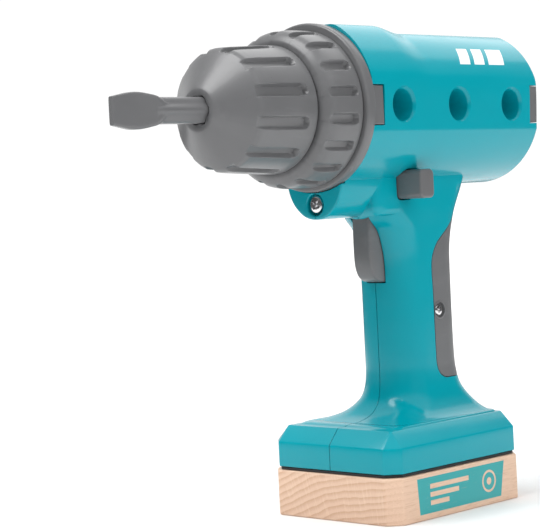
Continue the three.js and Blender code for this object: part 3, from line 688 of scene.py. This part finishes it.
def grey_plastic(name="grey_plastic", low=(0.122, 0.124, 0.128), high=(0.150, 0.151, 0.156),
                 rounded=0.0):
    """Satin moulded grey with a fine spark-eroded texture and rubbed high spots."""
    f = Finish(name, Specular_IOR_Level=0.5, IOR=1.49)
    spot, x, y, z = f.place()
    cloud = f.noise(spot, 14, detail=3)
    grit = f.noise(spot, 0.45, detail=2, roughness=0.6)
    scuff = f.noise(spot, 6, (4, 1, 1), detail=4, roughness=0.7)
    base = f.mix(cloud, low, high)
    base = f.mix(scuff.over(0.64, 0.18) * 0.25, base, tuple(v * 1.35 for v in high))
    rough = 0.24 + grit * 0.07 + cloud * 0.04 + scuff.over(0.62, 0.2) * 0.06
    height = grit * 0.5 + scuff * 0.3
    return f.feed(
        Base_Color=base, Roughness=rough, Normal=f.bump(height, 0.02, 0.8, rounded=rounded)
    )


def plain_plastic(name, low, high, roughness, grain=0.6):
    """Moulded plastic of one colour family, lightly mottled."""
    f = Finish(name, IOR=1.48)
    spot, x, y, z = f.place()
    cloud = f.noise(spot, 9, detail=3)
    grit = f.noise(spot, grain, detail=2)
    rough = roughness + grit * 0.12 - cloud * 0.06
    return f.feed(
        Base_Color=f.mix(cloud, low, high), Roughness=rough, Normal=f.bump(grit, 0.015, 0.7)
    )


def metal(name, low, high, roughness, stretch=(1, 1, 1)):
    """Plated or drawn metal with fine working marks."""
    f = Finish(name, Metallic=1.0)
    spot, x, y, z = f.place()
    cloud = f.noise(spot, 4, detail=3)
    marks = f.noise(spot, 0.35, stretch, detail=3, roughness=0.6)
    rough = roughness + marks * 0.12 + cloud.over(0.6, 0.2) * 0.08
    return f.feed(
        Base_Color=f.mix(cloud, low, high), Roughness=rough, Normal=f.bump(marks, 0.006, 0.6)
    )


def beech():
    """Lacquered beech: growth rings on the ends, flecks along the sides, painted panel."""
    f = Finish("beech", IOR=1.45)
    spot, x, y, z = f.place()
    wander = f.noise(spot, 30, (3, 1, 1), detail=3)
    fine = f.noise(spot, 5, (6, 1, 1), detail=3)
    dy = y + 30
    dz = z + 110
    radius = (dy * dy + dz * dz) ** 0.5 + wander * 5.5 + fine * 0.9
    phase = (radius / 2.25).maths("FRACT")
    ring = phase.over(0.62, 0.62) * (1 - phase.over(0.95, 0.09))
    facing = f.node("ShaderNodeNewGeometry", out="Normal")
    end = f.node("ShaderNodeSeparateXYZ", sockets={0: facing}).size().over(0.75, 0.3)
    pores = f.noise(spot, 0.42, (14, 1, 1), detail=3, roughness=0.65)
    end_pores = f.noise(spot, 0.38, detail=2, roughness=0.6)
    angle = dy / dz
    rays = f.node("ShaderNodeTexNoise", {"noise_dimensions": "2D"}, {
        "Vector": f.node("ShaderNodeCombineXYZ", None, {0: angle * 210, 1: radius * 0.11}),
        "Scale": 1.0, "Detail": 2.0, "Roughness": 0.6,
    })
    flecks = f.noise(spot, 0.9, (5, 1, 0.6), detail=2, roughness=0.55)
    base = f.mix(wander, (0.70, 0.475, 0.345), (0.77, 0.56, 0.42))
    base = f.mix(ring * (0.12 + end * 0.5), base, (0.50, 0.28, 0.165))
    base = f.mix(rays.over(0.62, 0.2) * end * 0.22, base, (0.93, 0.75, 0.59))
    base = f.mix(end_pores.over(0.62, 0.16) * end * 0.20, base, (0.56, 0.35, 0.22))
    base = f.mix(pores.over(0.60, 0.14) * (1 - end) * 0.5, base, (0.55, 0.34, 0.22))
    base = f.mix(flecks.over(0.66, 0.12) * (1 - end) * 0.25, base, (0.93, 0.74, 0.57))
    # Painted panel on the left side, with a ring mark and three bars left bare
    above = z - PANEL[0]
    front_edge = (x + above * 0.081).over(-23.3, 0.12)
    rear_edge = 1 - (x - above * 0.187).over(21.5, 0.12)
    panel = front_edge * rear_edge * within(z, *PANEL) * (1 - y.over(-28.3, 0.3))
    off_x = x - PANEL_MARK[0]
    off_z = z - PANEL_MARK[1]
    circle = (off_x * off_x + off_z * off_z) ** 0.5
    mark = within(circle, 3.1, 3.9) + within(circle, -1, 1.3)
    for bottom, top, left_end, right_end in PANEL_BARS:
        mark = mark + within(z, bottom, top) * within(x, left_end, right_end)
    worn = pores.over(0.70, 0.14) * 0.35
    painted = panel * (1 - mark.lower(1)) * (1 - worn)
    paint = f.mix(wander, (0.035, 0.33, 0.34), (0.045, 0.37, 0.38))
    base = f.mix(painted, base, paint)
    rough = 0.5 + pores * 0.14 - painted * 0.1
    height = ring * -0.35 - pores.over(0.6, 0.2) * 0.5 * (1 - end) - end_pores * end * 0.5
    height = height + painted * 0.5
    return f.feed(Base_Color=base, Roughness=rough, Normal=f.bump(height, 0.035, 0.8))


def cell_sleeve():
    """Plain printed sleeve of a dry cell with bare metal ends."""
    f = Finish("cell_sleeve")
    spot, x, y, z = f.place()
    low, high = box_mm("battery_cell_left")
    cloud = f.noise(spot, 6, detail=3)
    band = within(z, low[2] + 0.9, high[2] - 2.0)
    collar = within(z, high[2] - 15, high[2] - 2.0)
    base = f.mix(cloud, (0.028, 0.030, 0.036), (0.042, 0.045, 0.052))
    base = f.mix(collar, base, (0.62, 0.30, 0.12))
    base = f.mix(band, (0.66, 0.66, 0.67), base)
    return f.feed(
        Base_Color=base, Metallic=1 - band * 0.75, Roughness=0.28 + cloud * 0.12,
        Normal=f.bump(cloud, 0.02, 0.5),
    )


TEAL = teal_plastic()
GREY = grey_plastic()
GREY_EDGED = grey_plastic("grey_plastic_edged", rounded=0.3)
BLACK = plain_plastic("black_plastic", (0.012, 0.012, 0.013), (0.022, 0.022, 0.024), 0.5)
PALE = plain_plastic("pale_plastic", (0.72, 0.72, 0.68), (0.80, 0.80, 0.76), 0.4)
WOOD = beech()
STEEL = metal("steel", (0.52, 0.53, 0.55), (0.66, 0.67, 0.69), 0.22, (1, 12, 12))
CHROME = metal("screw_chrome", (0.74, 0.74, 0.76), (0.86, 0.86, 0.87), 0.08)
BRASS = metal("brass", (0.62, 0.43, 0.16), (0.74, 0.54, 0.24), 0.24)
SLEEVE = cell_sleeve()


# ------------------------------------------------------------------ housing

def door_outline(gap):
    """Side outline of the grip door, standing back by a gap."""
    outline = curve(DOOR_EDGE, 0.8) + [(34, 112), (34, 44.4)]
    return drawn_in(outline, gap) if gap else outline


def socket_tool(x, side):
    """Blind round socket with a softly broken lip, to be cut from the side."""
    face = BODY_FLAT
    profile = [
        (face + 1.2, SOCKET_RADIUS + 1.35), (face + 0.02, SOCKET_RADIUS + 0.55),
        (face - 0.2, SOCKET_RADIUS + 0.28), (face - 0.45, SOCKET_RADIUS + 0.1),
        (face - 0.8, SOCKET_RADIUS), (face - SOCKET_DEPTH + 0.8, SOCKET_RADIUS - 0.15),
        (face - SOCKET_DEPTH + 0.25, SOCKET_RADIUS - 0.4),
        (face - SOCKET_DEPTH, SOCKET_RADIUS - 1),
    ]
    return turned(f"socket_{x}_{side}", [(side * a, r) for a, r in profile], "Y",
                  (x, 0, AXIS_Z), 72)


def socket_cup(x, side):
    face = BODY_FLAT
    profile = [(face - 0.8, SOCKET_RADIUS + 1.5), (face - SOCKET_DEPTH - 1.5, SOCKET_RADIUS + 1.5)]
    return turned(f"cup_{x}_{side}", [(side * a, r) for a, r in profile], "Y", (x, 0, AXIS_Z), 32)


def make_housing():
    outer = body_form("housing", 0, BODY_FRONT, BODY_REAR)
    foot = foot_form("foot", 0, FOOT_BOTTOM, 0)
    round_edges(foot, 0.45, 3, 12)
    combine(outer, [
        handle_form("handle", 0), foot, neck_form("neck"),
    ], "UNION")
    coarse = [TURN * i / 64 for i in range(64)]
    inner = [
        body_form("body_room", WALL, BODY_FRONT - 3, BODY_REAR - WALL, coarse),
        handle_form("handle_room", WALL, 2.5),
        foot_form("foot_room", WALL, FOOT_BOTTOM - 2, WALL),
    ]
    combine(outer, inner, "DIFFERENCE")
    cups = [socket_cup(x, side) for x in SOCKET_X for side in (-1, 1)]
    combine(outer, [join("cups", cups + [chin_form("chin")])], "UNION")
    z_tab = (AXIS_Z - TAB_HALF - TAB_GAP, AXIS_Z + TAB_HALF + TAB_GAP)
    first = [socket_tool(x, side) for x in SOCKET_X for side in (-1, 1)]
    first += [
        turned("ring_room", [
            (-120, RING_ROOM_RADIUS), (-39.3, RING_ROOM_RADIUS), (-39.3, BEZEL_ROOM_RADIUS),
            (BODY_FRONT, BEZEL_ROOM_RADIUS),
        ], "X", (0, 0, AXIS_Z), 96),
        slab("door_room", door_outline(0), (-20, 20)),
        block("neck_room", (-16.7, -10), (-9.8, 9.8), (105.6, 122)),
        block("band_across", (54, 70), (-22.7, 22.7), z_tab),
        block("trigger_room", (-14.45, -3.6), (-4.3, 4.3), (79.3, TRIGGER_TOP + 0.3)),
    ]
    second = [
        block("tab_left", (-36, -28.9), (-40, -23.6), z_tab),
        block("tab_right", (-36, -28.9), (23.6, 40), z_tab),
        block("band_left", (52.2, 70), (-40, -22.6), z_tab),
        block("band_right", (52.2, 70), (22.6, 40), z_tab),
        block("button_room", (BUTTON_LOW[0] - 0.4, BUTTON_HIGH[0] + 0.4), (-40, 40),
              (BUTTON_LOW[2] - 0.4, 118.7), 1.7),
        turned("chin_hole", [
            (CHIN_FRONT - 2, 4.1), (CHIN_FRONT - 0.05, 4.1), (CHIN_FRONT + 0.3, 3.75),
            (CHIN_FRONT + CHIN_RECESS, 3.75), (CHIN_FRONT + CHIN_RECESS, CHIN_SCREW_HOLE),
            (CHIN_FRONT + 5.6, CHIN_SCREW_HOLE),
        ], "X", (0, 0, CHIN_SCREW_Z), 48),
    ]
    combine(outer, [join("first_cuts", first), join("second_cuts", second)], "DIFFERENCE")
    halves = []
    for name, y in (("body_shell_left", (-60, -HALF_SEAM)), ("body_shell_right", (HALF_SEAM, 60))):
        half = copy_of(outer, name + "_skin")
        combine(half, [block("cut", (-150, 100), y, (0, 220))], "INTERSECT")
        finish_piece(half, TEAL, "housing", [name], 28)
        halves.append(half)
    bpy.data.objects.remove(outer)
    return halves


def make_front_bezel():
    front, rear = BEZEL_FLANGE
    radius = (BEZEL_HIGH[2] - BEZEL_LOW[2]) / 2
    flange = [
        (front, 6), (front, radius - 0.8), (front + 0.12, radius - 0.4),
        (front + 0.45, radius - 0.1), (front + 0.9, radius), (rear - 0.4, radius),
        (rear - 0.12, radius - 0.12), (rear, radius - 0.4), (rear, 23.2), (-32.4, 23.2),
        (-32.4, 21.2), (rear, 21.2), (rear, 6),
    ]

    def raised(a, reach, angle):
        return reach + max(math.sin(angle), 0) ** 2 * BEZEL_RAISE * (reach > 25)

    bezel = turned("bezel_flange", flange, "X", (0, 0, AXIS_Z), 192, True, raised)
    hub = turned("bezel_hub", [(-54.6, 13.5), (-54.6, 17.6), (-38.4, 17.6), (-38.4, 13.5)], "X",
                 (0, 0, AXIS_Z), 96, closed=True)
    tabs = []
    z_tab = (AXIS_Z - TAB_HALF, AXIS_Z + TAB_HALF)
    for side in (-1, 1):
        y = sorted((side * 23.9, side * (BODY_FLAT + TAB_GAP)))
        tabs.append(block("tab", (front + 1, -29.2), y, z_tab, 0.35))
    combine(bezel, [hub, *tabs], "UNION")
    bezel.name = "front_bezel_collar"
    finish_piece(bezel, GREY_EDGED, "housing", ["front_bezel"])


def make_rear_band():
    z = (AXIS_Z - TAB_HALF, AXIS_Z + TAB_HALF)
    band = block("rear_band_strap", (54.3, BODY_REAR - 0.02), (-BAND_OUTSIDE, BAND_OUTSIDE), z)
    sides = ((-BAND_OUTSIDE, -BAND_INSIDE), (BAND_INSIDE, BAND_OUTSIDE))
    ears = [block("ear", (BAND_FRONT, 56), y, z) for y in sides]
    combine(band, ears, "UNION")
    combine(band, [body_form("trim", 0.03, BODY_FRONT, BODY_REAR - 0.03)], "INTERSECT")
    finish_piece(band, GREY_EDGED, "housing", ["rear_band"])


# ----------------------------------------------------------------- nose end

def slot_depth(a, across, slot):
    """Share of the full depth inside a round-ended slot that lies along the axis."""
    start, end, half = slot
    beyond = max(start + half - a, 0, a - end + half)
    inside = half - math.hypot(beyond, across)
    return smoothstep(inside, -0.1, 0.5)


def slot_angles(count, radius, half):
    """Angles round a pocketed wheel, closest together at the pocket walls."""
    pitch = TURN / count
    shares = [0, 0.45, 0.8]
    shares += [1 + (d / half) for d in (-0.55, -0.32, -0.12, 0.02, 0.16, 0.5)]
    marks = [half * s / radius for s in shares]
    rest = pitch / 2 - marks[-1]
    marks += [marks[-1] + rest * share for share in (0.3, 0.65)]
    full = [-m for m in reversed(marks[1:])] + marks + [pitch / 2]
    return [(i + 0.5) * pitch + m for i in range(count) for m in full]


def filled(profile, step):
    """Polyline with extra points so that no piece is longer than step."""
    out = []
    for a, b in zip(profile, profile[1:]):
        pieces = max(1, math.ceil(math.dist(a, b) / step))
        out += [blend_rows(a, b, k / pieces) for k in range(pieces)]
    return out + [profile[-1]]


def make_chuck():
    pitch = TURN / CHUCK_POCKETS

    def reach(a, radius, angle):
        if radius <= HOLE_RADIUS + 0.01 and a < -69:
            return radius - 0.6 * (0.5 - 0.5 * math.cos(LOBES * angle))
        if radius < 12:
            return radius
        floor = CHUCK_POCKET_FLOOR + CHUCK_TAPER * (a - CHUCK_POCKET[1])
        if radius <= floor or a > CHUCK_POCKET[1] + 0.3:
            return radius
        across = (angle / pitch % 1 - 0.5) * pitch * radius
        return radius - (radius - floor) * slot_depth(a, across, CHUCK_POCKET)

    outer = filled(soften(CHUCK_PROFILE[1:], 2, 0.14), 0.5)
    bore = [(-70.2, 4.2), (-70.2, HOLE_RADIUS), (-89.4, HOLE_RADIUS), (-89.62, HOLE_RADIUS + 0.12),
            (-89.7, HOLE_RADIUS + 0.35)]
    back = [(-56, 16.6), (-72, 15.4), (-72, 8.6), (-56, 8.6), (-56, 4.9), (-68, 4.9), (-68, 3)]
    angles = slot_angles(CHUCK_POCKETS, 20.6, CHUCK_POCKET[2])
    chuck = turned("chuck_sleeve_shell", bore + outer + back, "X", (0, 0, AXIS_Z), angles,
                   reach=reach)
    finish_piece(chuck, GREY, "chuck", ["chuck_sleeve"], 40)


def make_ring():
    pitch = TURN / RING_POCKETS
    front, rear = RING_LOW[0], RING_HIGH[0]
    radius = (RING_HIGH[2] - RING_LOW[2]) / 2
    outer = soften([
        (front, 20), (front, 22.2), (front + 0.5, 23.4), (front + 1.9, 25.2),
        (front + 4.4, radius - 0.12), (rear - 0.5, radius), (rear, radius - 0.5), (rear, 22),
    ], 3)
    outer = filled(outer, 0.5)

    def reach(a, r, angle):
        floor = radius - RING_POCKET_DEPTH
        if r <= floor:
            return r
        across = (angle / pitch % 1 - 0.5) * pitch * r
        return r - (r - floor) * slot_depth(a, across, RING_POCKET)

    profile = [(rear, 17.9), (front, 17.9)] + outer
    ring = turned("torque_ring_wheel", profile, "X", (0, 0, AXIS_Z),
                  slot_angles(RING_POCKETS, radius, RING_POCKET[2]), closed=True, reach=reach)
    finish_piece(ring, GREY, "ring", ["torque_ring"], 40)


def make_bit():
    tip, end = BIT_LOW[0], BIT_HIGH[0]

    def lobed(a, radius, angle):
        return radius - 0.55 * (0.5 - 0.5 * math.cos(LOBES * angle)) * (radius / SHANK_RADIUS) ** 4

    profile = [(end, 3.6), (end, 4.1), (end - 0.25, 4.45), (end - 0.7, SHANK_RADIUS),
               (-107, SHANK_RADIUS), (-108.5, 4.4), (-110, 3.9), (-111, 3.2)]
    shank = turned("driver_bit_body", filled(profile, 2), "X", (0, 0, AXIS_Z), 96, reach=lobed)
    rows = curve([
        (tip, 4.45, 1.05), (-123, 5.1, 1.4), (-119, 5.75, 1.85), (-115.5, 5.75, 2.3),
        (-111, 5.0, 3.3), (-108.6, 4.55, 3.9), (-105.6, 4.0, 4.1),
    ], 0.6)
    rings = []
    for x, tall, thin in rows:
        power = 0.28 if x < -111 else 0.28 + 0.72 * smoothstep(x, -111, -105.6)
        ring = []
        for i in range(64):
            t = TURN * i / 64
            c, s = math.cos(t), math.sin(t)
            ring.append((
                x, math.copysign(abs(c) ** power, c) * thin,
                AXIS_Z + math.copysign(abs(s) ** power, s) * tall,
            ))
        rings.append(ring)
    blade = loft("blade", rings)
    round_edges(blade, 0.25, 2, 50)
    combine(shank, [blade], "UNION")
    finish_piece(shank, GREY, "bit", ["driver_bit"], 34)


# ----------------------------------------------------------------- controls

def make_trigger():
    face = TRIGGER_FACE
    front = curve([
        (face + 0.05, 101), (face - 0.05, 97), (face - 0.1, 92), (face + 0.1, 87),
        (face + 0.7, 83.9), (face + 2.1, 81.5), (face + 4.2, 80.1), (face + 6.6, 79.6),
    ], 0.8)
    outline = [(-1.4, TRIGGER_TOP), (face + 0.1, TRIGGER_TOP)] + front + [(-1.4, 79.6)]
    blade = slab("trigger_blade", outline, (-TRIGGER_HALF, TRIGGER_HALF), 0.9, 5)
    stop = block("stop", (-3.2, -1.4), (-6.4, 6.4), (82.5, 98.5), 0.3)
    post = turned("post", [(-2, 1), (0.4, 1), (0.6, 0.8)], "X", (0, 0, 90.5), 24)
    combine(blade, [stop, post], "UNION")
    finish_piece(blade, GREY, "trigger_unit", ["trigger"], 40)


def make_button():
    x = (BUTTON_LOW[0], BUTTON_HIGH[0])
    y = (BUTTON_LOW[1], BUTTON_HIGH[1])
    z = (BUTTON_LOW[2], 118.3)

    def ring(at, inset):
        points = []
        corner = 1.9
        for cx, cz, sx, sz, quarter in ((x[0], z[0], 1, 1, 2), (x[1], z[0], -1, 1, 3),
                                        (x[1], z[1], -1, -1, 0), (x[0], z[1], 1, -1, 1)):
            for i in range(9):
                angle = (quarter + i / 8) * math.pi / 2
                points.append((
                    cx + sx * corner + (corner - inset) * math.cos(angle), at,
                    cz + sz * corner + (corner - inset) * math.sin(angle),
                ))
        return points

    edge = 0.9
    rings = []
    for i in range(7):
        t = math.pi / 2 * i / 6
        rings.append(ring(y[0] + edge * (1 - math.cos(t)), edge * (1 - math.sin(t))))
    rings += [ring(y[1] - edge, 0), ring(y[1] - edge * 0.3, edge * 0.3), ring(y[1], edge)]
    bar = loft("direction_button_bar", rings)
    combine(bar, [block("fin", (-5.6, -3.6), (-5, -3), (z[1] - 0.5, 121), 0.2)], "UNION")
    finish_piece(bar, GREY, "button", ["direction_button"], 40)


def make_door():
    """Rear half of the grip with short finger grooves, held by one screw."""
    door = handle_form("battery_door_grip", 0)
    combine(door, [slab("clip", door_outline(0.28), (-20, 20))], "INTERSECT")
    combine(door, [handle_form("room", DOOR_WALL, 2.0)], "DIFFERENCE")
    sx, sz = DOOR_SCREW
    rim = turned("rim", [(-13.3, 2.9), (-13.15, 3.2), (-12.4, 3.3)], "Y", (sx, 0, sz), 48)
    combine(rim, [slab("clip", door_outline(0.28), (-20, 20))], "INTERSECT")
    combine(door, [rim], "UNION")
    tools = [
        turned("counterbore", [(-16, 2.75), (-13.2, 2.7), (-12.9, 2.6), (-12.2, 2.6)], "Y",
               (sx, 0, sz), 48),
        turned("screw_hole", [(-16, 1.1), (-9, 1.1)], "Y", (sx, 0, sz), 24),
    ]
    around = [TURN * k / 10 for k in range(10)]
    for i in range(GROOVES):
        z = GROOVE_FIRST + i * GROOVE_PITCH
        rings = []
        for k in range(13):
            share = k / 6 - 1
            x = GROOVE_FLOOR - 2.6 * max(abs(share) - 0.35, 0) ** 1.6
            rings.append([
                (x + 2 - 2 * math.cos(t), GROOVE_REACH * share, z + GROOVE_HALF * math.sin(t))
                for t in around
            ])
        tools.append(loft(f"groove_{i}", rings))
    combine(door, tools, "DIFFERENCE")
    finish_piece(door, GREY_EDGED, "grip_door", ["battery_door"], 28)


# ------------------------------------------------------------------- screws

def make_screw(name, radius, height, stem, length):
    """Pan-head cross screw standing at the origin, its head below and stem upwards."""
    profile = [(-height, radius * 0.2), (-height, radius * 0.45), (-height * 0.97, radius * 0.68),
               (-height * 0.82, radius * 0.88), (-height * 0.5, radius * 0.985),
               (-height * 0.2, radius), (0, radius * 0.97), (0, stem)]
    pitch = stem * 0.62
    turns = int(length / pitch) * 2
    for i in range(1, turns):
        profile.append((length * i / turns, stem if i % 2 else stem * 0.78))
    profile.append((length, stem * 0.35))
    screw = turned(name, profile, "Z", (0, 0, 0), 40)
    cross = []
    for k in range(2):
        arm = radius * 0.62
        bar = block("arm", (-arm, arm), (-radius * 0.11, radius * 0.11),
                    (-height - 1, -height * 0.42), 0)
        if k:
            bar.data.transform(Matrix.Rotation(math.pi / 2, 4, "Z"))
        cross.append(bar)
    cross.append(turned("well", [(-height - 1, radius * 0.34), (-height * 0.3, radius * 0.16)],
                        "Z", (0, 0, 0), 16))
    combine(screw, cross, "DIFFERENCE")
    return screw


def set_screw(obj, spot, axis="Z", spin=0.0):
    """Stands a finished screw at its place, pointing along an axis."""
    turn = Matrix.Rotation(math.radians(spin), 4, "Z")
    if axis == "Y":
        turn = Matrix.Rotation(math.radians(-90), 4, "X") @ turn
    if axis == "X":
        turn = Matrix.Rotation(math.radians(90), 4, "Y") @ turn
    obj.data.transform(Matrix.Translation(Vector(spot) * MM) @ turn)


def make_screws():
    door_screw = make_screw("battery_door_screw_head", 1.9, 0.75, 0.75, 1.5)
    set_screw(door_screw, (DOOR_SCREW[0], DOOR_SCREW_SEAT, DOOR_SCREW[1]), "Y", 20)
    finish_piece(door_screw, CHROME, "grip_door", ["battery_door_screw"])
    chin_screw = make_screw("housing_screw_head", 3.05, 1.5, 1.25, 3.5)
    set_screw(chin_screw, (CHIN_FRONT + 1.8, 0, CHIN_SCREW_Z), "X", 35)
    finish_piece(chin_screw, CHROME, "housing", ["housing_screw"])
    first = make_screw("base_screw_model", 2.9, 1.8, 1.4, 21.6)
    for i, (x, y) in enumerate(BASE_SCREWS):
        screw = copy_of(first, f"base_screw_{i + 1}_head")
        set_screw(screw, (x, y, BASE_SCREW_SEAT), "Z", 17 + 41 * i)
        finish_piece(screw, STEEL, "housing", [f"base_screw_{i + 1}"])
    bpy.data.objects.remove(first)


# --------------------------------------------------------------- foot block

def make_wood():
    length, width = WOOD_HIGH[0], WOOD_HIGH[1]
    top = WOOD_HIGH[2]
    wood = loft("wood_block_beech", [
        octagon(length, width, FOOT_CORNER, 0), octagon(length, width, FOOT_CORNER, top),
    ])
    round_edges(wood, 0.7, 4, 20)
    tools = []
    for x, y in BASE_SCREWS:
        tools.append(turned("seat", [(-1, 3.55), (0.02, 3.5), (0.4, 3.4), (5.2, 3.4)], "Z",
                            (x, y, 0), 40))
        tools.append(turned("hole", [(-1, 1.8), (20, 1.8)], "Z", (x, y, 0), 20))
    combine(wood, tools, "DIFFERENCE")
    finish_piece(wood, WOOD, "housing", ["wood_block"], 40)


def make_cells():
    for side, name in ((-1, "battery_cell_left"), (1, "battery_cell_right")):
        low, high = box_mm(name)
        centre = ((low[0] + high[0]) / 2, (low[1] + high[1]) / 2, 0)
        r = CELL_RADIUS
        profile = [(low[2], r - 1.4), (low[2], r - 0.7), (low[2] + 0.3, r - 0.15),
                   (low[2] + 0.8, r), (high[2] - 1.9, r), (high[2] - 1.2, r - 0.3),
                   (high[2] - 0.85, r - 1.1), (high[2] - 0.85, 2.1), (high[2] - 0.4, 1.95),
                   (high[2] - 0.08, 1.8), (high[2], 1.4)]
        if side > 0:
            profile = [(low[2] + high[2] - a, radius) for a, radius in profile]
        cell = turned(name + "_can", profile, "Z", centre, 64)
        finish_piece(cell, SLEEVE, "housing", [name])


# ------------------------------------------------------------- kept innards

KEPT = {
    "spindle": STEEL, "spindle_bush": BRASS, "gearbox_case": PALE, "gearbox_cover": PALE,
    "output_gear": PALE, "lay_gear": PALE, "lay_axle": STEEL, "motor_can": STEEL,
    "motor_end_cap": PALE, "motor_rotor": STEEL, "motor_pinion": BRASS,
    "trigger_spring": STEEL, "trigger_switch": BLACK, "changeover_switch": BLACK,
    "battery_tray": BLACK, "contact_spring_left": STEEL, "contact_spring_right": STEEL,
    "contact_plate_bottom": STEEL, "contact_plate_bridge": STEEL, "contact_plate_top": STEEL,
    "base_plate": BLACK,
}


def finish_kept_nodes():
    for name, material in KEPT.items():
        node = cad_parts[name]
        node.data.materials.clear()
        node.data.materials.append(material)


# ---------------------------------------------------------- studio and view

def make_camera():
    data = bpy.data.cameras.new("camera")
    data.sensor_width = 36
    data.lens = CAMERA_LENS
    data.clip_end = 20
    camera = bpy.data.objects.new("camera", data)
    bpy.context.scene.collection.objects.link(camera)
    yaw, pitch, roll = (math.radians(a) for a in CAMERA_TURN)
    ahead = Vector((math.cos(yaw) * math.cos(pitch), math.sin(yaw) * math.cos(pitch),
                    math.sin(pitch)))
    right = ahead.cross(Vector((0, 0, 1))).normalized()
    up = right.cross(ahead)
    tilted = right * math.cos(roll) + up * math.sin(roll)
    upright = up * math.cos(roll) - right * math.sin(roll)
    turn = Matrix((tilted, upright, -ahead)).transposed().to_4x4()
    camera.matrix_world = Matrix.Translation(Vector(CAMERA_PLACE) * MM) @ turn
    bpy.context.scene.camera = camera


def soft_light(name, source, spread, strength, shine=True):
    """Wide soft light that comes from one direction."""
    data = bpy.data.lights.new(name, "SUN")
    data.energy = strength
    data.angle = math.radians(spread)
    light = bpy.data.objects.new(name, data)
    bpy.context.scene.collection.objects.link(light)
    light.matrix_world = Vector(source).to_track_quat("Z", "Y").to_matrix().to_4x4()
    light.visible_glossy = shine


def make_world():
    """White room: bright ceiling and backdrop, dim walls on the near side."""
    world = bpy.data.worlds.new("studio")
    bpy.context.scene.world = world
    f = Finish("studio", world, Color=(1, 1, 1, 1))
    direction = f.node("ShaderNodeTexCoord", out="Generated")
    parts = [f.node("ShaderNodeSeparateXYZ", sockets={0: direction}, out=i) for i in range(3)]
    ceiling = parts[2].over(0.60, 0.34)
    backdrop = (parts[0] * 0.72 + parts[1] * 0.69).over(0.62, 0.5)
    level = 0.07 + (ceiling.higher(backdrop)) * 0.9
    seen = f.node("ShaderNodeLightPath", out="Is Camera Ray")
    f.feed(Strength=level + (1.05 - level) * seen)


def make_floor():
    deselect()
    bpy.ops.mesh.primitive_plane_add(size=30)
    floor = bpy.context.object
    floor.name = "floor"
    f = Finish("floor", Specular_IOR_Level=0.1)
    spot, x, y, z = f.place()
    shade = f.noise(spot, 400, detail=1)
    # Painted reflection: for glossy rays only, the floor beyond about 650 mm is painted near black
    # (0.05), standing in for dim walls in the reflections on the toy; seen directly, the floor
    # stays plain pale
    distance = (x * x + y * y) ** 0.5
    mirrored = f.node("ShaderNodeLightPath", out="Is Glossy Ray")
    pale = f.mix(shade, (0.80, 0.80, 0.80), (0.83, 0.83, 0.83))
    floor.data.materials.append(f.feed(
        Base_Color=f.mix(distance.over(650, 300) * mirrored, pale, (0.05, 0.05, 0.05)),
        Roughness=0.7 + shade * 0.1,
    ))


# ------------------------------------------------------------------ assembly

make_camera()
make_world()
make_floor()
soft_light("left_box", (-0.5, 0.2, 0.84), 40, 2.4)
soft_light("rear_ceiling", (0.75, 0.25, 0.75), 45, 0.5)
soft_light("side_fill", (0.0, -0.85, 0.3), 60, 1.55, shine=False)

make_housing()
make_front_bezel()
make_rear_band()
make_chuck()
make_ring()
make_bit()
make_trigger()
make_button()
make_door()
make_screws()
make_wood()
make_cells()
finish_kept_nodes()

view = bpy.context.scene.view_settings
view.view_transform = "Standard"
view.look = "None"
view.exposure = 0
view.gamma = 1
